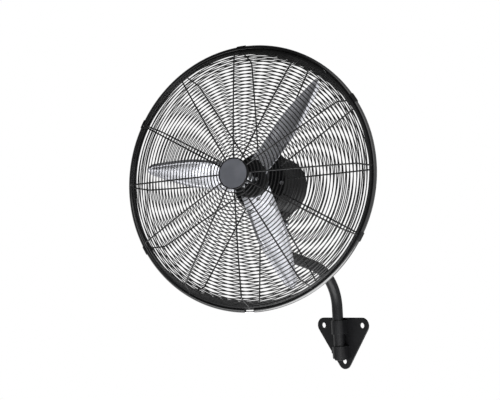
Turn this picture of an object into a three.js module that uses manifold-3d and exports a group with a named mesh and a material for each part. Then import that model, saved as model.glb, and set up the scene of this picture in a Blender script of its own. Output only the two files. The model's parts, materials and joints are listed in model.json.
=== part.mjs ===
// Wall mounted fan: a caged three-blade fan head on a bent tube arm, held by two pipe clamps on a
// three-hole wall plate. Millimetres. X is to the right seen from the front, Y runs into the wall,
// Z is up. The origin is on the back face of the wall plate.
import * as THREE from "three";
import { mergeVertices } from "three/addons/utils/BufferGeometryUtils.js";
import Module from "manifold-3d";

const wasm = await Module();
wasm.setup();

// ---- driving dimensions ----------------------------------------------------------------------

// Running gap between a piece and what it turns or slides in, and seat gap between fixed pieces.
const RUNNING_GAP = 0.4;
const SEAT_GAP = 0.3;

// How far a cutting shape runs past the face that it cuts.
const CUT_PAST = 1;

// Wall plate: three corners with a screw hole in the middle of each.
const PLATE_THICKNESS = 5;
const PLATE_HOLE_SPACING = 146;
const PLATE_HOLE_DROP = 106;
const PLATE_TOP_HOLES_Z = 40;
const PLATE_HOLE_RADIUS = 8;
const PLATE_CORNER_RADIUS = 23;

// Arm: one tube bent twice, upright in the wall clamps and upright again under the fan head.
const TUBE_RADIUS = 16;
const TUBE_WALL = 2;
const TUBE_WALL_DISTANCE = 24.5;
const TUBE_BOTTOM_Z = -57;
const LOWER_BEND_Z = 96;
const LOWER_BEND_RADIUS = 130;
const ARM_BEND_DEG = 74;
const UPPER_BEND_RADIUS = 44;
const ARM_REACH = 252;
const PLUG_DEPTH = 14;
const PLUG_HEAD = 3;

// Pipe clamps on the wall plate.
const CLAMP_WALL = 4.2;
const CLAMP_SLIT = 3;
const CLAMP_SLIT_BEHIND_TUBE = 10.5;
const CLAMP_EAR = 5;
const CLAMP_EAR_REACH = 31;
const CLAMP_BOLT_DEPTH = 5.5;
const CLAMP_BOLT_X = 25.9;
const UPPER_CLAMP_Z = [16, 56];
const LOWER_CLAMP_Z = [-55, -20];
const CLAMP_BOLT_RADIUS = 3;

// Knuckle between the arm and the fan head.
const TILT_AXIS_Z = 340;
const SOCKET_WALL = 6;
const SOCKET_LENGTH = 24;
const TUBE_END_GAP = 2;
const BARREL_RADIUS = 14;
const BARREL_LENGTH = 48;
const TILT_BOLT_RADIUS = 6;
const TILT_BOLT_PAST_NUT = 3;
const PINCH_BOLT_RADIUS = 4;
const PINCH_SLIT = 4;
const PINCH_EAR = 6;
const PINCH_EAR_REACH = 18;
const CLEVIS_PLATE = 5;
const CLEVIS_DEPTH = 56;
const CLEVIS_EAR_RADIUS = 15;

// How the head stands at rest: turned to the right and tipped up a little. The motor's pad lies
// above the tilt axis, and the hoop ahead of it.
const HEAD_YAW_DEG = 21.7;
const HEAD_PITCH_DEG = 2.8;
const MOTOR_PAD_HEIGHT = 22;
const RIM_AHEAD_OF_TILT = 193.9;

// Fan head. Its own frame has the fan axis as +Z towards the air flow and the hoop at Z = 0.
const HOOP_RADIUS = 350;
const HOOP_SECTION_RADIUS = 6.5;
const HOOP_WALL = 1.4;
const HOOP_MOUTH_DEG = 112;
const HOOP_GAP_LENGTH = 26;
const HOOP_LUG = 3;
const HOOP_LUG_PAST_BAND = 1.5;
const HOOP_BOLT_RADIUS = 1.8;
const HOOP_BOLT_INSET = 2.2;
const HOOP_BOLT_HEAD = [2.7, 3];
const HOOP_NUT = [2.79, 4];
const CLIP_LENGTH = 24;
const CLIP_WALL = 1.6;
const CLIP_WRAP_DEG = 200;
const CLIP_ANGLES_DEG = [30, 90, 150, 210, 330];

// Wire guards. Insets are measured inwards from the outside of the hoop.
const RING_WIRE = 2.6;
const SPOKE_WIRE = 4;
const SPOKES = 12;
const RING_SIDES_PER_BAY = 2;
const GUARD_SEAT_INSET = 8;
const GUARD_SEAT_Z = 2.2;
const GUARD_LIP_Z = 3.2;
const FRONT_SHOULDER_INSET = 36;
const FRONT_SHOULDER_Z = 51;
const FRONT_CENTRE_RADIUS = 30;
const FRONT_CENTRE_Z = 75;
const FRONT_SIDE_RINGS = 2;
const FRONT_FACE_RINGS = 5;
const FRONT_CROWN = 4;
const REAR_SHOULDER_INSET = 27;
const REAR_SHOULDER_Z = -65;
const REAR_CENTRE_RADIUS = 75;
const REAR_SIDE_RINGS = 2;
const REAR_FACE_RINGS = 5;
const REAR_CROWN = -3;

// Centre cap of the front guard.
const CAP_RADIUS = 41;
const CAP_THICKNESS = 4.6;
const CAP_BEVEL = 2.5;
const BACKING_RADIUS = 34;
const BACKING_THICKNESS = 2.4;
const CAP_SCREW_RADIUS = 2.5;
const CAP_SCREW_IN_CAP = 1.5;
const CAP_HOLE_PAST_SCREW = 0.5;

// Motor. Lengths along the fan axis are negative behind the hoop.
const BELL_FACE_Z = -94;
const BELL_LIP = 2;
const BELL_FACE_RADIUS = 74;
const BELL_SHOULDER = 28;
const BELL_FLANGE = 12;
const BELL_WALL = 6;
const SHELL_REAR_RADIUS = 85;
const SHELL_TAPER = 1;
const SHELL_BACK_Z = -245;
const SHELL_WALL = 4;
const SHELL_ROUND = 9;
const SHELL_PAD_DROP = 3;
const SHELL_PAD_HALF_WIDTH = 36;
const SHELL_PAD_MARGIN = 2;
const SHELL_PAD_SINK = 3;
const STATOR_LENGTH = 50;
const STATOR_IN_SHELL = 13;
const STATOR_SEAT_PAST_STACK = 6;
const WINDING_OVERHANG = 14;
const WINDING_STEP_IN = 8;
const WINDING_TAPER = 4;
const WINDING_PAST_BORE = 3;
const AIR_GAP = 0.6;
const ROTOR_RADIUS = 41;
const SHAFT_RADIUS = 7;
const SHAFT_FRONT_Z = -4;
const SHAFT_CHAMFER = 2;
const BEARING_RADIUS = 17.5;
const BEARING_WIDTH = 11;
const BEARING_BOSS_WALL = 5;
const BOSS_PAST_BEARING = 1;
const FRONT_BEARING_BEHIND_WALL = 2;
const REAR_BEARING_AHEAD_OF_WALL = 4;
const MOUNT_RING_THICKNESS = 2;
const MOUNT_RING_RADII = [48, 77];
const GUARD_BOLT_CIRCLE = 66;
const GUARD_BOLT_FIRST_DEG = -8;
const GUARD_BOLT_RADIUS = 3;
const GUARD_BOLTS = 4;
const GLAND_RADIUS = 9;
const GLAND_NECK_RADIUS = 6.3;
const GLAND_BORE_RADIUS = 4;
const GLAND_NUT_LENGTH = 12;
const GLAND_LENGTH = 20;
const GLAND_BELOW_AXIS = 44;

// Fan wheel.
const BLADES = 3;
const FIRST_BLADE_DEG = 50.3;
const BLADE_PLANE_Z = -31;
const BLADE_SHEET = 1.6;
const BLADE_ROOT_RADIUS = 53;
const BLADE_TIP_INSET = 39;
const BLADE_TIP_ROUND = 14;
const BLADE_ROOT_HALF_WIDTH = 39;
const BLADE_MID_HALF_WIDTH = 40.5;
const BLADE_TIP_HALF_WIDTH = 13;
const BLADE_TAPER_POWER = 1.3;
const BLADE_FLAT_LENGTH = 49;
const BLADE_WIDEST = 160;
const BLADE_ROOT_PITCH_DEG = 24;
const BLADE_TIP_PITCH_DEG = 19;
const BLADE_CAMBER = 5;
const SPIDER_SHEET = 3;
const SPIDER_DISC_RADIUS = 50;
const SPIDER_DISC_THICKNESS = 5;
const TAB_LENGTH = 45;
const TAB_NECK_LENGTH = 16;
const TAB_CORNER = 8;
const TAB_HALF_WIDTH = 31;
const TAB_NECK_HALF_WIDTH = 9;
const BOSS_RADIUS = 15;
const BOSS_FRONT_Z = -8;
const BOSS_BACK_Z = -43;
const BOSS_FLANGE_RADIUS = 25;
const BOSS_FLANGE = 5;
const HUB_PLATE_INSIDE_BLADES = 3;
const HUB_PLATE_FLAT_RADIUS = 33;
const HUB_PLATE_Z = -19;
const HUB_PLATE_DROP = 3;
const HUB_PLATE_SHEET = 2;
const HUB_SCREW_CIRCLE = 24;
const HUB_SCREWS = 3;
const SCREW_RADIUS = 2.5;
const RIVET_RADIUS = 3;
const RIVET_HEAD_RADIUS = 5.5;
const RIVET_HEAD = 1.8;
const RIVET_CROWN_RADIUS = 3.3;
const RIVETS_FROM_ROOT = [
  [7, 0],
  [33, -27],
  [33, 27],
];
const SET_SCREW_RADIUS = 3;
const SET_SCREW_BEHIND_FRONT = 7;

// Metric hexagons: width across flats and head height for a bolt of each shank radius.
const HEX_FLATS_PER_RADIUS = 3.25;
const HEX_HEIGHT_PER_RADIUS = 1.4;

// Pan-head screws: head radius, head height and top of the head for each unit of shank radius.
const PAN_HEAD_PER_RADIUS = 1.9;
const PAN_HEIGHT_PER_RADIUS = 1.1;
const PAN_TOP_PER_HEAD = 0.8;

// Smoothness of round shapes, as number of sides.
const SIDES_SMALL = 8;
const SIDES_MEDIUM = 16;
const SIDES_LARGE = 24;
const SIDES_HOOP = 48;
const TUBE_BEND_STEPS = 7;

// ---- materials -------------------------------------------------------------------------------

const blackPaint = new THREE.MeshStandardMaterial({ color: 0x1d1e20, roughness: 0.42, metalness: 0.3 });
const blackWire = new THREE.MeshStandardMaterial({ color: 0x17181a, roughness: 0.35, metalness: 0.4 });
const blackPlastic = new THREE.MeshStandardMaterial({ color: 0x1a1a1c, roughness: 0.6, metalness: 0 });
const greyCap = new THREE.MeshStandardMaterial({ color: 0x595b61, roughness: 0.5, metalness: 0.1 });
const aluminium = new THREE.MeshStandardMaterial({ color: 0xc4c7d0, roughness: 0.35, metalness: 1 });
const zincSteel = new THREE.MeshStandardMaterial({ color: 0xb4b6b8, roughness: 0.35, metalness: 1 });
const darkSteel = new THREE.MeshStandardMaterial({ color: 0x6f7276, roughness: 0.45, metalness: 1 });

// ---- shapes and booleans ---------------------------------------------------------------------

const radians = THREE.MathUtils.degToRad;

function solid(geometry) {
  const plain = geometry.index ? geometry.toNonIndexed() : geometry.clone();
  plain.deleteAttribute("normal");
  plain.deleteAttribute("uv");
  const merged = mergeVertices(plain, 1e-3);
  return new wasm.Manifold(
    new wasm.Mesh({
      numProp: 3,
      vertProperties: merged.attributes.position.array,
      triVerts: new Uint32Array(merged.index.array),
    }),
  );
}

function surface(body) {
  const raw = body.getMesh();
  const points = new Float32Array(raw.numVert * 3);
  for (let i = 0; i < raw.numVert; i++) {
    const start = i * raw.numProp;
    points.set(raw.vertProperties.subarray(start, start + 3), i * 3);
  }
  const geometry = new THREE.BufferGeometry();
  geometry.setAttribute("position", new THREE.BufferAttribute(points, 3));
  geometry.setIndex(new THREE.BufferAttribute(new Uint32Array(raw.triVerts), 1));
  return geometry;
}

function join(...shapes) {
  return surface(shapes.map(solid).reduce((whole, piece) => whole.add(piece)));
}

function cut(shape, ...tools) {
  return surface(tools.map(solid).reduce((whole, tool) => whole.subtract(tool), solid(shape)));
}

// Solid of revolution about Z from [radius, z] points, closed along the axis if it starts there.
function turned(points, sides) {
  const area = points.reduce((sum, [r, z], i) => {
    const [nextR, nextZ] = points[(i + 1) % points.length];
    return sum + r * nextZ - nextR * z;
  }, 0);
  const ordered = area > 0 ? points : [...points].reverse();
  const onAxis = ordered[0][0] === 0 && ordered[ordered.length - 1][0] === 0;
  const closed = onAxis ? ordered : [...ordered, ordered[0]];
  const profile = closed.map(([r, z]) => new THREE.Vector2(r, z));
  return new THREE.LatheGeometry(profile, sides).rotateX(Math.PI / 2);
}

function disc(radius, low, high, sides = SIDES_MEDIUM) {
  return turned([[0, low], [radius, low], [radius, high], [0, high]], sides);
}

function washer(inner, outer, low, high, sides = SIDES_MEDIUM) {
  return turned([[inner, low], [outer, low], [outer, high], [inner, high]], sides);
}

function block(x, y, z) {
  const box = new THREE.BoxGeometry(x[1] - x[0], y[1] - y[0], z[1] - z[0]);
  return box.translate((x[0] + x[1]) / 2, (y[0] + y[1]) / 2, (z[0] + z[1]) / 2);
}

function plate(outline, depth, holes = []) {
  const shape = new THREE.Shape(outline);
  shape.holes = holes.map((hole) => new THREE.Path(hole));
  return new THREE.ExtrudeGeometry(shape, { depth, bevelEnabled: false, steps: 1 });
}

function circlePoints(x, y, radius, sides) {
  return Array.from({ length: sides }, (_, i) => {
    const angle = (2 * Math.PI * i) / sides;
    return new THREE.Vector2(x + radius * Math.cos(angle), y + radius * Math.sin(angle));
  });
}

// Outline round a set of corners listed anticlockwise, each rounded by the same radius.
function roundedOutline(corners, radius, stepsPerCorner) {
  return corners.flatMap((corner, i) => {
    const before = corners[(i + corners.length - 1) % corners.length];
    const after = corners[(i + 1) % corners.length];
    const start = Math.atan2(corner.y - before.y, corner.x - before.x) - Math.PI / 2;
    let sweep = Math.atan2(after.y - corner.y, after.x - corner.x) - Math.PI / 2 - start;
    sweep -= 2 * Math.PI * Math.floor(sweep / (2 * Math.PI));
    return Array.from({ length: stepsPerCorner + 1 }, (_, k) => {
      const angle = start + (sweep * k) / stepsPerCorner;
      return new THREE.Vector2(corner.x + radius * Math.cos(angle), corner.y + radius * Math.sin(angle));
    });
  });
}

function mesh(name, geometry, material, parent) {
  const piece = new THREE.Mesh(geometry, material);
  piece.name = name;
  parent.add(piece);
  return piece;
}

// ---- fasteners: the head's bearing face is at z = 0 and the shank runs to -Z -------------------

function hexPrism(flats, height) {
  const sides = 6;
  const corner = flats / 2 / Math.cos(Math.PI / sides);
  return plate(circlePoints(0, 0, corner, sides), height);
}

function hexBolt(radius, grip) {
  const head = hexPrism(radius * HEX_FLATS_PER_RADIUS, radius * HEX_HEIGHT_PER_RADIUS);
  return join(head, disc(radius, -grip, radius / 2, SIDES_SMALL));
}

function hexNut(radius) {
  const height = radius * HEX_HEIGHT_PER_RADIUS;
  const bore = disc(radius + SEAT_GAP, -height, 2 * height, SIDES_SMALL);
  return cut(hexPrism(radius * HEX_FLATS_PER_RADIUS, height), bore);
}

function panScrew(radius, grip) {
  const head = radius * PAN_HEAD_PER_RADIUS;
  const height = radius * PAN_HEIGHT_PER_RADIUS;
  return turned(
    [[0, -grip], [radius, -grip], [radius, 0], [head, 0], [head * PAN_TOP_PER_HEAD, height], [0, height]],
    SIDES_SMALL,
  );
}

// ---- wall plate ------------------------------------------------------------------------------

const part = new THREE.Group();

const plateHoles = [
  new THREE.Vector2(-PLATE_HOLE_SPACING / 2, PLATE_TOP_HOLES_Z),
  new THREE.Vector2(0, PLATE_TOP_HOLES_Z - PLATE_HOLE_DROP),
  new THREE.Vector2(PLATE_HOLE_SPACING / 2, PLATE_TOP_HOLES_Z),
];

function wallPlate() {
  const outline = roundedOutline(plateHoles, PLATE_CORNER_RADIUS, 6);
  const holes = plateHoles.map((hole) => circlePoints(hole.x, hole.y, PLATE_HOLE_RADIUS, SIDES_MEDIUM));
  return plate(outline, PLATE_THICKNESS, holes).rotateX(Math.PI / 2);
}
mesh("wall_plate", wallPlate(), blackPaint, part);

// ---- pipe clamps: a strap round the front of the tube, bolted to a block beside it -------------

const clampGroup = new THREE.Group();
clampGroup.position.set(0, -TUBE_WALL_DISTANCE, 0);
part.add(clampGroup);

const clampInner = TUBE_RADIUS + RUNNING_GAP;
const clampOuter = clampInner + CLAMP_WALL;
const clampLegEnd = TUBE_WALL_DISTANCE - PLATE_THICKNESS - SEAT_GAP;
const earBack = CLAMP_SLIT_BEHIND_TUBE - CLAMP_SLIT / 2;
const earFront = earBack - CLAMP_EAR;
const blockFront = earBack + CLAMP_SLIT;
const clampBoltEnd = blockFront + CLAMP_BOLT_DEPTH;

// Hole for the clamp bolt, from in front of the ear to its blind end in the block.
function clampBoltHole(middle) {
  return disc(CLAMP_BOLT_RADIUS + SEAT_GAP, -clampBoltEnd - SEAT_GAP, clampOuter, SIDES_SMALL)
    .rotateX(Math.PI / 2)
    .translate(-CLAMP_BOLT_X, 0, middle);
}

// Strap: a half ring over the tube, a leg back to the plate on the right, and on the left a
// shorter leg that ends in the ear.
function clampStrap([low, high]) {
  const tall = [low - CUT_PAST, high + CUT_PAST];
  const front = cut(
    disc(clampOuter, low, high, SIDES_MEDIUM),
    block([-2 * clampOuter, 2 * clampOuter], [0, 2 * clampOuter], tall),
  );
  const leg = block([clampInner, clampOuter], [-1, clampLegEnd], [low, high]);
  const shortLeg = block([-clampOuter, -clampInner], [-1, earBack], [low, high]);
  const ear = block([-CLAMP_EAR_REACH, -clampInner - 1], [earFront, earBack], [low, high]);
  return cut(
    join(front, leg, shortLeg, ear),
    disc(clampInner, ...tall, SIDES_MEDIUM),
    clampBoltHole((low + high) / 2),
  );
}

// Block on the plate that the ear is pulled towards, with a threaded blind hole.
function clampBlock([low, high]) {
  const body = block([-CLAMP_EAR_REACH, -clampInner], [blockFront, clampLegEnd], [low, high]);
  return cut(body, clampBoltHole((low + high) / 2));
}

const clamps = { upper: UPPER_CLAMP_Z, lower: LOWER_CLAMP_Z };
const flatsTowardsTube = radians(30);
for (const [place, span] of Object.entries(clamps)) {
  mesh(`${place}_clamp_strap`, clampStrap(span), blackPaint, clampGroup);
  mesh(`${place}_clamp_block`, clampBlock(span), blackPaint, clampGroup);
  const grip = SEAT_GAP + clampBoltEnd - earFront;
  const bolt = mesh(`${place}_clamp_bolt`, hexBolt(CLAMP_BOLT_RADIUS, grip), blackPaint, clampGroup);
  bolt.position.set(-CLAMP_BOLT_X, earFront - SEAT_GAP, (span[0] + span[1]) / 2);
  bolt.rotation.set(Math.PI / 2, 0, flatsTowardsTube);
}

// ---- arm tube --------------------------------------------------------------------------------

const bend = radians(ARM_BEND_DEG);
const tubeTopZ = TILT_AXIS_Z - BARREL_RADIUS - TUBE_END_GAP;
const postY = -TUBE_WALL_DISTANCE - ARM_REACH;

class ArcInPlane extends THREE.Curve {
  constructor(centre, radius, from, to) {
    super();
    Object.assign(this, { centre, radius, from, to });
  }
  getPoint(t, target = new THREE.Vector3()) {
    const angle = this.from + (this.to - this.from) * t;
    const y = this.centre.y + this.radius * Math.cos(angle);
    const z = this.centre.z + this.radius * Math.sin(angle);
    return target.set(0, y, z);
  }
}

function armPath() {
  const lowerCentre = new THREE.Vector3(0, -TUBE_WALL_DISTANCE - LOWER_BEND_RADIUS, LOWER_BEND_Z);
  const lowerArc = new ArcInPlane(lowerCentre, LOWER_BEND_RADIUS, 0, bend);
  const lowerEnd = lowerArc.getPoint(1);
  const upperShift = UPPER_BEND_RADIUS * (1 - Math.cos(bend));
  const run = (lowerEnd.y - postY - upperShift) / Math.sin(bend);
  const upperStart = new THREE.Vector3(0, postY + upperShift, lowerEnd.z + run * Math.cos(bend));
  const upperCentreZ = upperStart.z + UPPER_BEND_RADIUS * Math.sin(bend);
  const upperCentre = new THREE.Vector3(0, postY + UPPER_BEND_RADIUS, upperCentreZ);
  const upperArc = new ArcInPlane(upperCentre, UPPER_BEND_RADIUS, Math.PI + bend, Math.PI);
  const path = new THREE.CurvePath();
  const tubeEnd = new THREE.Vector3(0, -TUBE_WALL_DISTANCE, TUBE_BOTTOM_Z);
  path.add(new THREE.LineCurve3(tubeEnd, lowerArc.getPoint(0)));
  path.add(lowerArc);
  path.add(new THREE.LineCurve3(lowerEnd, upperStart));
  path.add(upperArc);
  path.add(new THREE.LineCurve3(upperArc.getPoint(1), new THREE.Vector3(0, postY, tubeTopZ)));
  return path;
}

// Stations along the arm: the ends of its straight runs and even steps round its bends.
function armStations(path) {
  const steps = [1, TUBE_BEND_STEPS, 1, TUBE_BEND_STEPS, 1];
  const points = [path.curves[0].getPoint(0)];
  path.curves.forEach((curve, i) => {
    for (let k = 1; k <= steps[i]; k++) points.push(curve.getPoint(k / steps[i]));
  });
  return points;
}

// Tube swept in the plane X = 0, with one ring of points square to the path at each station.
function sweptTube(points, outer, inner, sides) {
  const rings = points.map((point, i) => {
    const before = points[Math.max(i - 1, 0)];
    const after = points[Math.min(i + 1, points.length - 1)];
    const along = after.clone().sub(before).normalize();
    if (i === 0 || i === points.length - 1) along.set(0, 0, 1);
    const across = new THREE.Vector3(0, -along.z, along.y);
    return { point, across };
  });
  const corner = (ring, radius, k) => {
    const angle = (2 * Math.PI * k) / sides;
    const x = radius * Math.cos(angle);
    const offset = radius * Math.sin(angle);
    return [x, ring.point.y + ring.across.y * offset, ring.point.z + ring.across.z * offset];
  };
  const triangles = [];
  const quad = (a, b, c, d) => triangles.push(...a, ...b, ...c, ...a, ...c, ...d);
  for (let i = 0; i + 1 < rings.length; i++) {
    for (let k = 0; k < sides; k++) {
      const [a, b] = [rings[i], rings[i + 1]];
      quad(corner(a, outer, k + 1), corner(a, outer, k), corner(b, outer, k), corner(b, outer, k + 1));
      quad(corner(a, inner, k), corner(a, inner, k + 1), corner(b, inner, k + 1), corner(b, inner, k));
    }
  }
  const ends = [rings[0], rings[rings.length - 1]];
  for (let k = 0; k < sides; k++) {
    const [a, b] = ends;
    quad(corner(a, outer, k), corner(a, outer, k + 1), corner(a, inner, k + 1), corner(a, inner, k));
    quad(corner(b, outer, k + 1), corner(b, outer, k), corner(b, inner, k), corner(b, inner, k + 1));
  }
  const geometry = new THREE.BufferGeometry();
  geometry.setAttribute("position", new THREE.Float32BufferAttribute(triangles, 3));
  return geometry;
}

const armTube = sweptTube(armStations(armPath()), TUBE_RADIUS, TUBE_RADIUS - TUBE_WALL, SIDES_MEDIUM);
mesh("arm_tube", armTube, blackPaint, part);

const plugNeck = TUBE_RADIUS - TUBE_WALL - SEAT_GAP;
const plug = mesh(
  "tube_end_plug",
  turned(
    [[0, -PLUG_HEAD - SEAT_GAP], [TUBE_RADIUS, -PLUG_HEAD - SEAT_GAP], [TUBE_RADIUS, -SEAT_GAP],
      [plugNeck, -SEAT_GAP], [plugNeck, PLUG_DEPTH], [0, PLUG_DEPTH]],
    SIDES_MEDIUM,
  ),
  blackPlastic,
  part,
);
plug.position.set(0, -TUBE_WALL_DISTANCE, TUBE_BOTTOM_Z);

// ---- knuckle on the arm: a socket pinched on the tube, with a cross barrel for the tilt bolt ----

const swivel = new THREE.Group();
swivel.position.set(0, postY, TILT_AXIS_Z);
swivel.rotation.z = radians(HEAD_YAW_DEG);
part.add(swivel);

const socketTop = -BARREL_RADIUS;
const socketBottom = socketTop - SOCKET_LENGTH;
const socketOuter = TUBE_RADIUS + RUNNING_GAP + SOCKET_WALL;
const pinchZ = (socketTop + socketBottom) / 2;
const pinchY = socketOuter + PINCH_EAR_REACH / 2;
const pinchEarOutside = PINCH_SLIT / 2 + PINCH_EAR;
const pinchEarEnd = socketOuter + PINCH_EAR_REACH;
const barrelBore = TILT_BOLT_RADIUS + RUNNING_GAP;

function crossDisc(radius, halfLength, sides = SIDES_MEDIUM) {
  return disc(radius, -halfLength, halfLength, sides).rotateY(Math.PI / 2);
}

function postHead() {
  const socket = disc(socketOuter, socketBottom, 0, SIDES_MEDIUM);
  const barrel = crossDisc(BARREL_RADIUS, BARREL_LENGTH / 2);
  const ears = block(
    [-pinchEarOutside, pinchEarOutside],
    [TUBE_RADIUS, pinchEarEnd],
    [socketBottom, socketTop],
  );
  const halfSlit = PINCH_SLIT / 2;
  const slit = block([-halfSlit, halfSlit], [0, 2 * pinchEarEnd], [socketBottom - CUT_PAST, socketTop]);
  const pinchBore = crossDisc(PINCH_BOLT_RADIUS + SEAT_GAP, 2 * pinchEarOutside, SIDES_SMALL);
  return cut(
    join(socket, barrel, ears),
    disc(TUBE_RADIUS + RUNNING_GAP, socketBottom - CUT_PAST, socketTop, SIDES_MEDIUM),
    slit,
    crossDisc(barrelBore, BARREL_LENGTH),
    pinchBore.translate(0, pinchY, pinchZ),
  );
}
mesh("post_head", postHead(), blackPaint, swivel);

const pinchNutHeight = PINCH_BOLT_RADIUS * HEX_HEIGHT_PER_RADIUS;
const pinchGrip = 2 * pinchEarOutside + SEAT_GAP + pinchNutHeight;
const pinchBolt = mesh("pinch_bolt", hexBolt(PINCH_BOLT_RADIUS, pinchGrip), blackPaint, swivel);
pinchBolt.position.set(pinchEarOutside + SEAT_GAP, pinchY, pinchZ);
pinchBolt.rotation.y = Math.PI / 2;
const pinchNut = mesh("pinch_nut", hexNut(PINCH_BOLT_RADIUS), blackPaint, swivel);
pinchNut.position.set(-pinchEarOutside - SEAT_GAP - pinchNutHeight, pinchY, pinchZ);
pinchNut.rotation.y = Math.PI / 2;

// ---- clevis under the motor, on the tilt bolt --------------------------------------------------

const tilt = new THREE.Group();
tilt.rotation.x = -radians(HEAD_PITCH_DEG);
swivel.add(tilt);

const clevisInner = BARREL_LENGTH / 2 + RUNNING_GAP;
const clevisOuter = clevisInner + CLEVIS_PLATE;
const padBelowAxis = SHELL_REAR_RADIUS + SHELL_PAD_DROP;
const fanAxisHeight = MOTOR_PAD_HEIGHT + padBelowAxis;
const clevisTop = MOTOR_PAD_HEIGHT - SEAT_GAP;

function tiltClevis() {
  const halfDepth = CLEVIS_DEPTH / 2;
  const topZ = [clevisTop - CLEVIS_PLATE, clevisTop];
  const top = block([-clevisOuter, clevisOuter], [-halfDepth, halfDepth], topZ);
  const ears = [-1, 1].map((side) => {
    const x = side < 0 ? -clevisOuter : clevisInner;
    const armY = [-CLEVIS_EAR_RADIUS, CLEVIS_EAR_RADIUS];
    const arm = block([x, x + CLEVIS_PLATE], armY, [0, clevisTop - CLEVIS_PLATE / 2]);
    const end = disc(CLEVIS_EAR_RADIUS, x, x + CLEVIS_PLATE, SIDES_MEDIUM).rotateY(Math.PI / 2);
    return join(arm, end);
  });
  const hole = crossDisc(TILT_BOLT_RADIUS + SEAT_GAP, 2 * clevisOuter, SIDES_SMALL);
  return cut(join(top, ...ears), hole);
}
mesh("tilt_clevis", tiltClevis(), blackPaint, tilt);

const tiltNutHeight = TILT_BOLT_RADIUS * HEX_HEIGHT_PER_RADIUS;
const tiltGrip = 2 * clevisOuter + SEAT_GAP + tiltNutHeight + TILT_BOLT_PAST_NUT;
const tiltBolt = mesh("tilt_bolt", hexBolt(TILT_BOLT_RADIUS, tiltGrip), zincSteel, tilt);
tiltBolt.position.set(-clevisOuter - SEAT_GAP, 0, 0);
tiltBolt.rotation.y = -Math.PI / 2;
const tiltNut = mesh("tilt_nut", hexNut(TILT_BOLT_RADIUS), zincSteel, tilt);
tiltNut.position.set(clevisOuter + SEAT_GAP, 0, 0);
tiltNut.rotation.y = Math.PI / 2;

// ---- fan head frame --------------------------------------------------------------------------

const fan = new THREE.Group();
fan.position.set(0, -RIM_AHEAD_OF_TILT, fanAxisHeight);
fan.rotation.x = Math.PI / 2;
tilt.add(fan);

const padZ = -RIM_AHEAD_OF_TILT;

const shellFrontRadius = SHELL_REAR_RADIUS + SHELL_TAPER;
const bellRadius = shellFrontRadius + BELL_LIP;
const statorRadius = SHELL_REAR_RADIUS - STATOR_IN_SHELL;
const flangeBack = BELL_FACE_Z - BELL_SHOULDER - BELL_FLANGE;
const shellFront = flangeBack - SEAT_GAP;
const frontBearingFront = BELL_FACE_Z - BELL_WALL - FRONT_BEARING_BEHIND_WALL;
const frontBearingBack = frontBearingFront - BEARING_WIDTH;
const rearBearingBack = SHELL_BACK_Z + SHELL_WALL + REAR_BEARING_AHEAD_OF_WALL;
const rearBearingFront = rearBearingBack + BEARING_WIDTH;
const bossOuter = BEARING_RADIUS + SEAT_GAP + BEARING_BOSS_WALL;
const boltCircleAngle = (i) => radians(GUARD_BOLT_FIRST_DEG + (360 / GUARD_BOLTS) * i);

function guardBoltPlaces() {
  return Array.from({ length: GUARD_BOLTS }, (_, i) => {
    const angle = boltCircleAngle(i);
    return [GUARD_BOLT_CIRCLE * Math.cos(angle), GUARD_BOLT_CIRCLE * Math.sin(angle)];
  });
}

function guardBoltHoles(low, high) {
  const radius = GUARD_BOLT_RADIUS + SEAT_GAP;
  return guardBoltPlaces().map(([x, y]) => disc(radius, low, high, SIDES_SMALL).translate(x, y, 0));
}

// Front bell of the motor: a cover with the front bearing seat and holes for the guard's bolts.
function frontBell() {
  const inner = BELL_FACE_Z - BELL_WALL;
  const shaftHole = SHAFT_RADIUS + RUNNING_GAP + 1;
  const shape = turned(
    [
      [shaftHole, BELL_FACE_Z],
      [BELL_FACE_RADIUS, BELL_FACE_Z],
      [bellRadius, BELL_FACE_Z - BELL_SHOULDER],
      [bellRadius, flangeBack],
      [bellRadius - 2 * SHELL_WALL, flangeBack],
      [bellRadius - 2 * SHELL_WALL, inner - BELL_SHOULDER],
      [BELL_FACE_RADIUS - BELL_WALL, inner],
      [bossOuter, inner],
      [bossOuter, frontBearingBack - 2],
      [BEARING_RADIUS + SEAT_GAP, frontBearingBack - 2],
      [BEARING_RADIUS + SEAT_GAP, frontBearingFront + SEAT_GAP],
      [shaftHole, frontBearingFront + SEAT_GAP],
    ],
    SIDES_LARGE,
  );
  return cut(shape, ...guardBoltHoles(BELL_FACE_Z - 2 * BELL_WALL, BELL_FACE_Z + CUT_PAST));
}
mesh("motor_front_bell", frontBell(), blackPaint, fan);

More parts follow.
